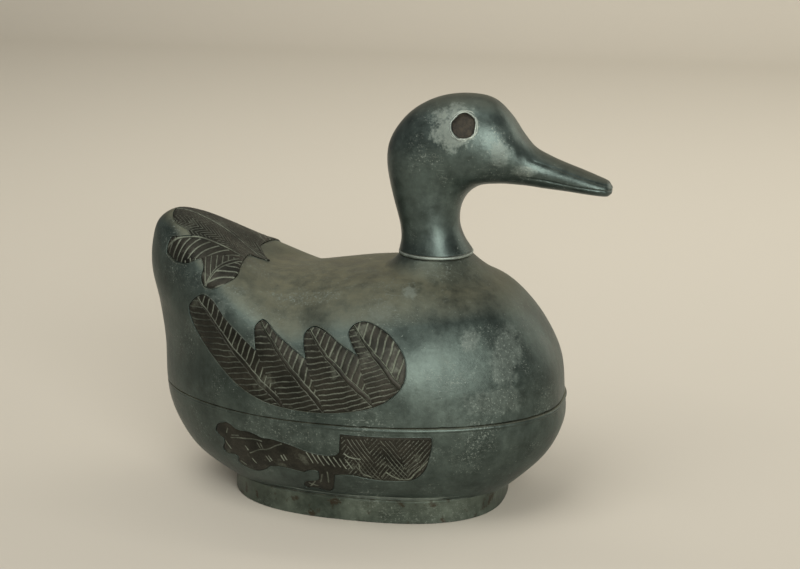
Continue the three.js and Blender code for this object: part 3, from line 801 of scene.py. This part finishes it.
def cast_pewter(name, dark, light, olive, bloom, spots, roughness, rust=0.0):
    """Old cast pewter: a tin alloy gone blue-grey, with a cloudy patina, olive on faces that look up,
    partly dust lying on them and partly a painted sheen of light from above, pale bloom at the given
    spots, runs down the sides, fine scratches and specks"""
    material, tree = new_material(name)
    place = add(tree, "ShaderNodeTexCoord", output="Object")
    cloud, blotch, mottle, patch, rusting, dents, grains = (
        add(tree, NOISE, cloudy(place, *row)) for row in PEWTER_BLOTS)
    drawn_down = add(tree, "ShaderNodeMapping", {"Vector": place, "Scale": (1, 1, 0.12)})
    runs = add(tree, NOISE, cloudy(drawn_down, 4, 3, 0.6))
    clouded = add(tree, RANGE, [cloud, 0.36, 0.64, 0, 1])
    tone = add(tree, MIX, {0: clouded, 6: linear(dark), 7: linear(light)}, 2, **LAID_OVER)
    for layer, low, high, least, most in (
            (blotch, 0.3, 0.7, 0.85, 1.14), (mottle, 0.28, 0.72, 0.86, 1.14),
            (runs, 0.32, 0.68, 0.9, 1.1)):
        shade = add(tree, RANGE, [layer, low, high, least, most])
        tone = add(tree, MIX, {0: 1.0, 6: tone, 7: shade}, 2, **SHADED)

    # Upward faces turn olive: partly dust lying on them, partly a painted sheen of light from above
    normal = add(tree, "ShaderNodeNewGeometry", output="Normal")
    upward = add(tree, RANGE, [add(tree, "ShaderNodeSeparateXYZ", [normal], "Z"), 0.62, 1, 0, 1])
    settled = add(tree, RANGE, [blotch, 0.35, 0.62, 0.5, 1])
    dust_and_sheen = add(tree, MATH, [upward, settled], **TIMES)
    dust_and_sheen_share = add(tree, MATH, [dust_and_sheen, 0.75], **TIMES)
    tone = add(tree, MIX, {0: dust_and_sheen_share, 6: tone, 7: linear(olive)}, 2, **LAID_OVER)
    rusted = add(tree, RANGE, [rusting, 0.58, 0.68, 0, rust])
    tone = add(tree, MIX, {0: rusted, 6: tone, 7: linear("#3b2d20")}, 2, **LAID_OVER)

    haze = 0.0
    specks = add(tree, RANGE, [patch, 0.42, 0.68, 0, 0.11])
    frayed = add(tree, MATH, [add(tree, RANGE, [blotch, 0.3, 0.7, 0.35, -0.35]),
                              add(tree, RANGE, [mottle, 0.3, 0.7, 0.22, -0.22])], **PLUS)
    for centre, half_sizes, hazy, specked in spots:
        offset = add(tree, VECTOR, [place, [c * MM for c in centre]], operation="SUBTRACT")
        offset = add(tree, VECTOR, [offset, [per(h) for h in half_sizes]], **TIMES)
        distance = add(tree, VECTOR, [offset], "Value", operation="LENGTH")
        near = add(tree, RANGE, [add(tree, MATH, [distance, frayed], **PLUS), 0.68, 1.05, 1, 0])
        haze = add(tree, MATH, [add(tree, MATH, [near, hazy], **TIMES), haze], **MORE)
        specks = add(tree, MATH, [add(tree, MATH, [near, specked], **TIMES), specks], **MORE)
    haze = add(tree, MATH, [haze, add(tree, RANGE, [mottle, 0.35, 0.6, 0.55, 1])], **TIMES)
    speckled = add(tree, RANGE, [add(tree, MATH, [grains, specks], **PLUS), 0.68, 0.76, 0, 0.75])
    bloomed = add(tree, MATH, [haze, speckled], **MORE)
    worn = add(tree, RANGE, [patch, 0.5, 0.58, 0, 1])
    for turn in SCRATCH_TURNS:
        combed = add(tree, "ShaderNodeMapping", {"Vector": place, "Rotation": turn, "Scale": (1, 16, 16)})
        hairs = add(tree, NOISE, cloudy(combed, 34, 2, 0.5))
        hairs = add(tree, MATH, [hairs, 0.5], operation="SUBTRACT")
        thin = add(tree, RANGE, [add(tree, MATH, [hairs], operation="ABSOLUTE"), 0, 0.005, 0.5, 0])
        scratched = add(tree, MATH, [thin, worn], **TIMES)
        bloomed = add(tree, MATH, [bloomed, scratched], **MORE)
    tone = add(tree, MIX, {0: bloomed, 6: tone, 7: linear(bloom)}, 2, **LAID_OVER)

    rough = add(tree, RANGE, [blotch, 0.3, 0.7, roughness - 0.08, roughness + 0.1])
    for layer, share in ((dust_and_sheen, 0.22), (bloomed, 0.5)):
        rough = add(tree, MATH, [rough, add(tree, MATH, [layer, share], **TIMES)], **PLUS)
    wavy = add(tree, BUMP, {"Height": dents, "Distance": 0.9 * MM, "Strength": 0.35})
    grainy = add(tree, BUMP, {
        "Height": mottle, "Distance": 0.16 * MM, "Strength": 0.6, "Normal": wavy,
    })
    shader = add(tree, SHADER, {
        "Base Color": tone, "Metallic": 0.8, "Roughness": rough, "Normal": grainy,
    })
    add(tree, "ShaderNodeOutputMaterial", {"Surface": shader})
    return material


def chased_brass(name):
    """Brass gone dark olive brown and cut with a chisel: the cuts are pale and grey-green, partly
    dust lying in them and partly painted glints of light on their edges, thick in some places and
    rubbed away in others"""
    material, tree = new_material(name)
    place = add(tree, "ShaderNodeTexCoord", output="Object")
    cloud, patch, fine = (add(tree, NOISE, cloudy(place, *row)) for row in BRASS_BLOTS)
    clouded = add(tree, RANGE, [cloud, 0.35, 0.65, 0, 1])
    tone = add(tree, MIX, {0: clouded, 6: linear("#1b1c16"), 7: linear("#32312a")}, 2, **LAID_OVER)
    shade = add(tree, RANGE, [fine, 0.3, 0.7, 0.65, 1.4])
    tone = add(tree, MIX, {0: 1.0, 6: tone, 7: shade}, 2, **SHADED)
    # Pale cuts: partly dust lying in them, partly painted glints of light on their edges
    filled = add(tree, RANGE, [add(tree, "ShaderNodeAttribute", output="Fac", attribute_name="chased"),
                               0.1, 0.8, 0, 1])
    for rubbed in ([patch, 0.36, 0.58, 0.35, 1], [fine, 0.3, 0.6, 0.55, 1]):
        filled = add(tree, MATH, [filled, add(tree, RANGE, rubbed)], **TIMES)
    haze = add(tree, MATH, [add(tree, RANGE, [patch, 0.58, 0.68, 0, 0.32]),
                            add(tree, RANGE, [fine, 0.4, 0.6, 0.4, 1])], **TIMES)
    dust_and_glint = add(tree, MATH, [filled, haze], **MORE)
    tone = add(tree, MIX, {0: dust_and_glint, 6: tone, 7: linear("#8c9384")}, 2, **LAID_OVER)
    grain = add(tree, BUMP, {"Height": fine, "Distance": 0.14 * MM, "Strength": 0.6})
    shader = add(tree, SHADER, {
        "Base Color": tone, "Metallic": 0.7, "Normal": grain,
        "Roughness": add(tree, RANGE, [dust_and_glint, 0, 1, 0.46, 0.85]),
    })
    add(tree, "ShaderNodeOutputMaterial", {"Surface": shader})
    return material


def eye_paste(name):
    """Dark brown paste left in the socket, matt, lumpy and rough"""
    material, tree = new_material(name)
    place = add(tree, "ShaderNodeTexCoord", output="Object")
    lumps = add(tree, NOISE, cloudy(place, 2.2, 5, 0.7))
    lumpy = add(tree, RANGE, [lumps, 0.35, 0.65, 0, 1])
    colour = add(tree, MIX, {0: lumpy, 6: linear("#14120d"), 7: linear("#383226")}, 2, **LAID_OVER)
    rough = add(tree, BUMP, {"Height": lumps, "Distance": 0.5 * MM, "Strength": 0.9})
    shader = add(tree, SHADER, {"Base Color": colour, "Roughness": 0.75, "Normal": rough})
    add(tree, "ShaderNodeOutputMaterial", {"Surface": shader})
    return material


def plain_paper(name, colour):
    """Matt paper for the floor and backdrop"""
    material, tree = new_material(name)
    shader = add(tree, SHADER, {"Base Color": linear(colour), "Roughness": 0.9})
    add(tree, "ShaderNodeOutputMaterial", {"Surface": shader})
    return material


# Pale places on the pewter: centre, half sizes, how hazy and how specked
BODY_SPOTS = [
    ((61, -31, 73), (6, 14, 13), 0.2, 0.12), ((47.4, -38, 80), (3.6, 9, 4), 0.26, 0.12),
    ((21.6, -28.8, 95.6), (3.6, 5, 2.4), 0.55, 0.1), ((12, -38, 90), (5, 6, 4.5), 0.14, 0.08),
    ((-20, -31, 91), (20, 5, 4.5), 0.05, 0.14), ((-56, -36, 84), (9, 8, 9), 0.16, 0.1),
    ((58, -38, 56), (14, 14, 6), 0.12, 0.12), ((-30, -52, 40), (34, 9, 6), 0.05, 0.1),
]
HEAD_SPOTS = [
    ((36, -14, 159.6), (8.8, 12, 8.8), 0.75, 0.1), ((36, 14, 159.6), (8.8, 12, 8.8), 0.75, 0.1),
    ((63.4, -9, 142.2), (5.5, 5, 3), 0.3, 0.14), ((54, -12, 150), (3.5, 6, 6), 0.25, 0.1),
]
# Each with its dark and light tone, olive for dust and painted top sheen, bloom, spots and
# roughness. The strip is rolled and paler, the solder paler still, and the rim paler again
BODY_PEWTER = cast_pewter(
    "cast_pewter", "#3a4440", "#4f5a55", "#85826b", "#939d95", BODY_SPOTS, 0.42)
HEAD_PEWTER = cast_pewter(
    "cast_pewter_head", "#3c4643", "#525e5a", "#636557", "#98a29a", HEAD_SPOTS, 0.36)
FOOT_PEWTER = cast_pewter(
    "rolled_pewter_strip", "#434c44", "#667066", "#777766", "#9ba499", [], 0.46, rust=0.75)
SOLDER = cast_pewter("soft_solder", "#7c8680", "#9ca69e", "#989b8e", "#b8c0b6", [], 0.48)
RIM = cast_pewter("pale_pewter_edge", "#7b8580", "#a3aca4", "#a09f92", "#c0c6bc", [], 0.5)
BRASS = chased_brass("darkened_brass")
EYE = eye_paste("dark_paste")


def finish(piece, body, node, material, angle=32):
    """Smooths a piece, gives it its material, and ties it to the frame"""
    piece.data.materials.clear()
    piece.data.materials.append(material)
    piece.data.polygons.foreach_set("material_index", np.zeros(len(piece.data.polygons), int))
    piece.data.shade_smooth()
    piece.data.set_sharp_from_angle(angle=math.radians(angle))
    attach(piece, body)
    if node:
        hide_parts(node)


def sweep_tree():
    """A round bead along a path, as geometry nodes"""
    tree = bpy.data.node_groups.new("bead_along_path", "GeometryNodeTree")
    for name, way, kind in (("Path", "INPUT", "Geometry"), ("Radius", "INPUT", "Float"),
                            ("Metal", "INPUT", "Material"), ("Bead", "OUTPUT", "Geometry")):
        tree.interface.new_socket(name, in_out=way, socket_type="NodeSocket" + kind)
    given = add(tree, "NodeGroupInput").node.outputs
    curve = add(tree, "GeometryNodeMeshToCurve", {"Mesh": given["Path"]})
    section = add(tree, "GeometryNodeCurvePrimitiveCircle", {
        "Resolution": 8, "Radius": given["Radius"],
    })
    bead = add(tree, "GeometryNodeCurveToMesh", {"Curve": curve, "Profile Curve": section})
    real = add(tree, "GeometryNodeRealizeInstances", {"Geometry": bead})
    coated = add(tree, "GeometryNodeSetMaterial", {"Geometry": real, "Material": given["Metal"]})
    add(tree, "NodeGroupOutput", {"Bead": coated})
    return tree


BEAD = sweep_tree()


def bead_along(name, loop, radius, material, body):
    """A fine bead along a closed loop of points"""
    piece = piece_of(name, loop, [], [(i, (i + 1) % len(loop)) for i in range(len(loop))])
    change = piece.modifiers.new("bead", "NODES")
    change.node_group = BEAD
    for socket, value in (("Radius", radius * MM), ("Metal", material)):
        change[BEAD.interface.items_tree[socket].identifier] = value
    finish(made_plain(piece), body, None, material, angle=80)


def pocket(outline, drape):
    """The tool that cuts a plate's bed out of the wall"""
    return draped_solid("pocket", widened(outline, PLATE_CLEARANCE), drape,
                        -PLATE_THICKNESS - PLATE_BED, POCKET_ABOVE, POCKET_GRAIN)


def collar_solid():
    """The foot of the neck, spreading into the back and breast"""
    turns = -round_turns(96)
    neck = oval(turns, NECK_HALF_LENGTH, NECK_HALF_WIDTH, HEAD_FULLNESS)
    middle = np.array([NECK_CENTRE, 0])
    foot_of_neck = on_top(neck + middle)[:, 2]
    spread = COLLAR_SPREAD + COLLAR_FORWARD_SPREAD * np.cos(turns)
    outward = neck / np.linalg.norm(neck, axis=1)[:, None]
    rings = []
    for k in range(COLLAR_STEPS + 1):
        out = k / COLLAR_STEPS
        edge = neck + outward * (spread * out)[:, None] + middle
        height = on_top(edge)[:, 2] + (COLLAR_TOP - foot_of_neck) * (1 - out) ** COLLAR_HOLLOW
        rings.append(np.column_stack([edge, height]))
    rings[-1][:, 2] -= COLLAR_SINK
    lowest = rings[-1].copy()
    lowest[:, :2] = middle + COLLAR_ROOT_SHARE * (lowest[:, :2] - middle)
    lowest[:, 2] -= WALL
    return loft("collar", rings + [lowest])


def neck_bore():
    """The tool that opens the lid into the hollow neck"""
    turns = -round_turns(96)
    points = oval(turns, NECK_HALF_LENGTH - WALL, NECK_HALF_WIDTH - WALL, HEAD_FULLNESS)
    points = points + [NECK_CENTRE, 0]
    return loft("bore", [
        np.column_stack([points, np.full(len(turns), z)]) for z in (NECK_BASE, BORE_START)
    ])


def filed_seam(piece):
    """Makes the edge at the seam a little uneven and chipped, as filed by hand"""
    points = points_of(piece)
    turn = np.arctan2(points[:, 1], points[:, 0])
    near = np.clip(1 - np.abs(points[:, 2] - SEAM) / FILED_HEIGHT, 0, 1)
    chips = np.clip(ragged(turn, 9, (11, 23, 37, 61, 83)) - 0.42, 0, 1)
    points[:, 2] += near * (0.26 + 0.12 * ragged(turn, 5, (9, 17, 31, 53)) + 0.9 * chips)
    set_points(piece, points)


wing_outline = outline_of(WING)
foot_outline = outline_of(FOOT)
half_outline = outline_of(TAIL_HALF)
tail_outline = np.vstack([half_outline, [TAIL_HALF[-1][-1]], (half_outline[1:] * [1, -1])[::-1]])


def make_lid():
    lid = combine(body_skin("lid_casting", *FINE), block(SEAM + SEAM_GAP / 2, ABOVE_ALL), "INTERSECT")
    lid = combine(lid, collar_solid(), "UNION")
    lid = combine(lid, body_skin("inner", *PLAIN, offset=-WALL), "DIFFERENCE")
    lid = combine(lid, neck_bore(), "DIFFERENCE")
    right = pocket(wing_outline, on_side)
    for tool in (right, mirrored(right, "left_pocket"), pocket(tail_outline, on_top)):
        lid = combine(lid, tool, "DIFFERENCE")
    filed_seam(lid)
    finish(lid, "lid", "lid_shell", BODY_PEWTER)


def make_bowl():
    top = SEAM - SEAM_GAP / 2
    bowl = combine(body_skin("bowl_casting", *FINE), block(FOOT_HEIGHT, top), "INTERSECT")
    inner = body_skin("hollow", *PLAIN, offset=-WALL)
    hollow = combine(inner, block(FOOT_HEIGHT + WALL, SEAM + OVERRUN), "INTERSECT")
    bowl = combine(bowl, hollow, "DIFFERENCE")
    right = pocket(foot_outline, on_side)
    for tool in (right, mirrored(right, "left_pocket")):
        bowl = combine(bowl, tool, "DIFFERENCE")
    finish(bowl, "base", "base_bowl", BODY_PEWTER)


def make_rim_bead():
    """The rounded bead along the rim of the bowl, which stands out more towards the breast"""
    height = SEAM - SEAM_GAP / 2 - RIM_BEAD_RADIUS - RIM_BEAD_BELOW
    turns = round_turns(260)
    middle = Vector((BODY_MIDDLE[0], 0, height))
    proud = [RIM_REAR_PROUD - RIM_BEAD_RADIUS, RIM_PROUD - RIM_BEAD_RADIUS]
    loop = []
    for turn in turns:
        ray = Vector((math.cos(turn), math.sin(turn), 0))
        hit = SURFACE.ray_cast(middle, ray)[0]
        out = np.interp(hit.x, RIM_BEAD_RISE, proud)
        loop.append((hit + ray * out)[:])
    loop = np.array(loop)
    loop[:, 2] += 0.05 * ragged(turns, 8, (7, 19, 31))
    bead_along("rim_bead", loop, RIM_BEAD_RADIUS, BODY_PEWTER, "base")


def make_flange():
    outer = body_skin("flange_strip", *PLAIN, offset=-WALL - FLANGE_CLEARANCE)
    inner = body_skin("inner", *PLAIN, offset=-WALL - FLANGE_CLEARANCE - FLANGE_WALL)
    ring = combine(outer, inner, "DIFFERENCE")
    ring = combine(ring, block(SEAM - FLANGE_BELOW, SEAM + FLANGE_ABOVE), "INTERSECT")
    finish(ring, "base", "locating_flange", FOOT_PEWTER)


def oval_strip(name, section, uneven, half_length, half_width, fullness, centre):
    """A strip round an oval. Each point of its section says how far out and how high it lies, and
    whether it takes part in the unevenness"""
    sections = []
    for turn, waver in zip(round_turns(len(uneven)), uneven):
        edges = [
            oval(np.array([turn]), half_length + out + waver * rough, half_width + out + waver * rough,
                 fullness)[0] + [centre, 0]
            for out, _, rough in section
        ]
        sections.append([(*edge, z) for edge, (_, z, _) in zip(edges, section)])
    return strip(name, sections)


def make_foot_ring():
    """The upright strip under the bowl, with a small rolled lip along its top"""
    top = FOOT_HEIGHT - SEAT_GAP
    section = [(-0.5, 0), (-0.1, 0.3), (0, 0.9), (0, top - 1.7), (0.3, top - 1.1), (0.35, top - 0.5),
               (0, top - 0.1), (-0.5, top), (0.4 - FOOT_WALL, top), (-FOOT_WALL, top - 0.4),
               (-FOOT_WALL, 0.4), (0.4 - FOOT_WALL, 0)]
    section = [(out, z, z > 1) for out, z in section]
    ring = oval_strip("foot_ring_strip", section, 0.12 * ragged(round_turns(360), 3),
                      FOOT_HALF_LENGTH, FOOT_HALF_WIDTH, FOOT_FULLNESS, FOOT_CENTRE)
    finish(ring, "base", "foot_ring", FOOT_PEWTER)


def make_foot_solder():
    """The uneven run of solder that holds the bowl on its foot"""
    turns = round_turns(240)
    base = FOOT_HEIGHT - SEAT_GAP + 0.02
    sections = []
    for turn, wave in zip(turns, ragged(turns, 21, (5, 11, 19, 33))):
        ray = oval(np.array([turn]), 1, 1, FOOT_FULLNESS)[0]
        edge = oval(np.array([turn]), FOOT_HALF_LENGTH, FOOT_HALF_WIDTH, FOOT_FULLNESS)[0]
        outward = ray / np.linalg.norm(ray)
        low = edge + [FOOT_CENTRE, 0] - outward * SOLDER_INSET
        high = FOOT_HEIGHT + SOLDER_RISE + SOLDER_WAVE * wave
        wall = SURFACE.ray_cast(Vector((*(low - outward * 12), high)), Vector((*outward, 0)))[0]
        wall = np.array(wall[:2]) if wall and (np.array(wall[:2]) - low) @ outward < 3 else low
        sections.append([
            (*low, base), (*(low + outward * 0.1), base + 0.35),
            (*((low + wall) / 2 + outward * 0.02), (base + high) / 2),
            (*(wall + outward * 0.05), high), (*(wall - outward * 0.8), high),
            (*(low - outward * 1.6), base),
        ])
    finish(strip("foot_solder", sections), "base", None, SOLDER, angle=70)


def make_band():
    """The band of solder between collar and neck, wiped uneven by hand"""
    low, high = COLLAR_TOP + SEAT_GAP, NECK_BASE - SEAT_GAP
    section = [(0.15, low + 0.1), (BAND_PROUD, low + 0.4), (BAND_PROUD, high - 0.4),
               (0.15, high - 0.1), (-1, high), (-WALL, high - 0.1), (-WALL, low + 0.1), (-1, low)]
    section = [(out, z, out > 0) for out, z in section]
    band = oval_strip("solder_band", section, 0.22 * ragged(round_turns(200), 11, (3, 8, 17, 29)),
                      NECK_HALF_LENGTH, NECK_HALF_WIDTH, HEAD_FULLNESS, NECK_CENTRE)
    finish(band, "lid", "neck_band", SOLDER, angle=60)


def head_rings(sides, per_rib):
    """Rings of points up the neck, over the head and out to the closed tip of the bill"""
    backs = np.array([rib[0] for rib in RIBS])
    fronts = np.array([rib[1] for rib in RIBS])
    halves = np.array([(k, rib[2]) for k, rib in enumerate(RIBS)])
    last = (len(RIBS) - 1) * per_rib
    places = np.arange(last + 1) / last
    back, front, half = (spline(line, places) for line in (backs, fronts, halves))
    shape = oval(-round_turns(sides), 1, 1, HEAD_FULLNESS)
    share = (1 - shape[:, 0]) / 2
    rings = []
    for b, f, h in zip(back, front, half[:, 1]):
        flat = b + share[:, None] * (f - b)
        ring = np.stack([flat[:, 0], shape[:, 1] * h, flat[:, 1]], 1)
        middle = ring.mean(0)
        past = np.clip((middle[0] - TIP_START) / (TIP_END - TIP_START), 0, TIP_CLOSED)
        droop = np.array([0, 0, TIP_DROOP * past ** 2])
        rings.append(middle - droop + (ring - middle) * (1 - past ** TIP_ROUNDING) ** 0.5)
    return rings


def make_head():
    per_rib = 7
    rings = head_rings(128, per_rib)
    head = loft("head_casting", rings)
    points = points_of(head)
    flat = points[:, [0, 2]]
    mouth = groove(line_distance(flat, spline(MOUTH, np.linspace(0, 1, 40))), 0.9)
    ridge = groove(line_distance(flat, spline(BILL_RIDGE, np.linspace(0, 1, 40))), 0.8)
    cut = MOUTH_DEPTH * mouth + BILL_RIDGE_DEPTH * ridge
    set_points(head, points - normals_of(head) * cut[:, None])
    below = rings[0] - np.array([0, 0, OVERRUN])
    hollow = loft("hollow", [below] + rings[:LAST_HOLLOW_RIB * per_rib + 1], -WALL)
    head = combine(head, hollow, "DIFFERENCE")
    for side in (-1, 1):
        bed = loft("bed", head_rings(48, 3), -EYE_DEPTH - EYE_BED)
        head = combine(head, combine(eye_post(side, 0.0), bed, "DIFFERENCE"), "DIFFERENCE")
    finish(head, "lid", "head", HEAD_PEWTER)


def around_eye(away, turns):
    """Points round the eye at given distances from its middle, seen from the side"""
    return EYE_CENTRE + np.asarray(away)[:, None] * np.stack([np.cos(turns), np.sin(turns)], 1)


def eye_post(side, inward):
    """A post through one side of the head with the uneven outline of the eye socket"""
    turns = round_turns(72)
    edge = around_eye(EYE_RADIUS - inward + 0.16 * ragged(turns, 7), turns)
    rings = [np.stack([edge[:, 0], np.full(len(edge), y), edge[:, 1]], 1) for y in (0, side * 40)]
    return facing_out(loft("post", rings))


def make_eye(side, node):
    face = loft("face", head_rings(96, 5), -EYE_DEPTH - EYE_SINK)
    disc = combine(face, eye_post(side, SEAT_GAP), "INTERSECT")
    back = loft("back", head_rings(48, 3), -EYE_DEPTH - EYE_BACK)
    disc = combine(disc, back, "DIFFERENCE")
    disc.name = node.replace("eye", "eye_paste")
    finish(disc, "lid", node, EYE)


def make_eye_rims():
    """The torn edge of pewter round each eye, in pale pewter"""
    head = loft("face", head_rings(96, 5))
    tree = BVHTree.FromPolygons(
        [tuple(p) for p in points_of(head)], [tuple(f.vertices) for f in head.data.polygons])
    bpy.data.objects.remove(head)
    turns = round_turns(96)
    for number, (outside, radius, sink) in enumerate(EYE_RIMS):
        away = EYE_RADIUS + outside + 0.16 * ragged(turns, 7)
        edge = around_eye(away + 0.2 * ragged(turns, 17 + number, (5, 9, 17, 31)), turns)
        loop = np.array([tree.ray_cast(Vector((x, -60, z)), Vector((0, 1, 0)))[0][:] for x, z in edge])
        loop[:, 1] += sink + 0.25 * ragged(turns, 13 + number, (3, 7, 13, 23))
        for side_name, side in (("right", 1), ("left", -1)):
            bead_along(f"{side_name}_eye_rim_{number}", loop * [1, side, 1], radius, RIM, "lid")


def make_plates():
    for name, outline, relief, body in (
            ("wing", wing_outline, wing_relief, "lid"), ("foot", foot_outline, foot_relief, "base")):
        right = draped_solid(f"right_{name}_plate", outline, on_side,
                             -PLATE_THICKNESS, PLATE_PROUD, PLATE_GRAIN, relief)
        left = mirrored(right, f"left_{name}_plate")
        finish(left, body, f"left_{name}_inlay", BRASS)
        finish(right, body, f"right_{name}_inlay", BRASS)
    tail = draped_solid("tail_plate", tail_outline, on_top,
                        -PLATE_THICKNESS, PLATE_PROUD, PLATE_GRAIN, tail_relief)
    finish(tail, "lid", "tail_inlay", BRASS)


def make_burrs():
    """The thin edge of pewter that was closed down over each plate"""
    for name, outline, body in (("wing", wing_outline, "lid"), ("foot", foot_outline, "base")):
        loop = on_side(widened(outline, BURR_OFFSET)[::2])
        loop[:, 1] += BURR_SINK * (0.7 + ragged(round_turns(len(loop)), 4, (5, 13, 29, 47)))
        for side_name, side in (("right", 1), ("left", -1)):
            bead_along(f"{side_name}_{name}_burr", loop * [1, side, 1], BURR_RADIUS,
                       BODY_PEWTER, body)
    loop = on_top(widened(tail_outline, BURR_OFFSET)[::2])
    loop[:, 2] -= BURR_SINK * (0.7 + ragged(round_turns(len(loop)), 6, (5, 13, 29, 47)))
    bead_along("tail_burr", loop, BURR_RADIUS, BODY_PEWTER, "lid")


make_lid()
make_bowl()
make_rim_bead()
make_flange()
make_foot_ring()
make_foot_solder()
make_band()
make_head()
make_eye(-1, "right_eye")
make_eye(1, "left_eye")
make_eye_rims()
make_plates()
make_burrs()

# Stage and camera, in metres
SHEET_FRONT = -1.6
SHEET_BACK = 1.6
SHEET_HEIGHT = 1.4
SHEET_BEND = 0.35
SHEET_HALF_WIDTH = 2.2
CAMERA_PLACE = (0.1691, -0.6508, 0.2820)
CAMERA_TARGET = (0.00975, 0.00294, 0.0891)
CAMERA_LENS = 75.6
CAMERA_SENSOR = 36
DUCK_MIDDLE = (0, 0, 0.08)


def make_stage():
    """A pale sheet that curves up behind the duck"""
    bend = [
        (SHEET_BACK - SHEET_BEND + SHEET_BEND * math.sin(a), SHEET_BEND - SHEET_BEND * math.cos(a))
        for a in np.linspace(0, math.pi / 2, 24)
    ]
    profile = [(SHEET_FRONT, 0.0), *bend, (SHEET_BACK, SHEET_HEIGHT)]
    sides = (-SHEET_HALF_WIDTH, SHEET_HALF_WIDTH)
    points = [(x / MM, y / MM, z / MM) for y, z in profile for x in sides]
    faces = [(2 * k, 2 * k + 1, 2 * k + 3, 2 * k + 2) for k in range(len(profile) - 1)]
    sheet = piece_of("paper_sheet", points, faces)
    sheet.data.materials.append(plain_paper("pale_paper", "#cfc9bd"))
    sheet.data.shade_smooth()


def aimed(name, data, place, target):
    """A lamp or camera at a place, turned to a target"""
    thing = linked(name, data)
    thing.location = place
    thing.rotation_euler = (Vector(target) - Vector(place)).to_track_quat("-Z", "Y").to_euler()
    return thing


def make_lamp(name, place, target, watts, size, colour):
    lamp = bpy.data.lights.new(name, "AREA")
    lamp.energy = watts
    lamp.color = linear(colour)[:3]
    lamp.size = size
    aimed(name, lamp, place, target)


def make_camera():
    camera = bpy.data.cameras.new("camera")
    camera.lens = CAMERA_LENS
    camera.sensor_width = CAMERA_SENSOR
    bpy.context.scene.camera = aimed("camera", camera, CAMERA_PLACE, CAMERA_TARGET)


def make_room():
    """The soft light from all round"""
    world = bpy.data.worlds.new("soft_room")
    world.use_nodes = True
    background = world.node_tree.nodes["Background"]
    background.inputs["Color"].default_value = linear("#e8e6e0")
    background.inputs["Strength"].default_value = 0.3
    bpy.context.scene.world = world


make_stage()
make_camera()
make_lamp("window", (0.58, -1.1, 0.42), DUCK_MIDDLE, 15, 0.75, "#f6f4ee")
make_lamp("skylight", (-0.25, -0.5, 1.2), DUCK_MIDDLE, 7, 0.8, "#f4f1ea")
make_lamp("backdrop_lamp", (0, 0.4, 1.1), (0, 1.6, 0.4), 9, 1.0, "#f6f2e8")
make_lamp("side_card", (1.0, 0.85, 0.45), DUCK_MIDDLE, 4, 0.9, "#f2ecdf")
make_room()
bpy.context.scene.view_settings.view_transform = "Standard"
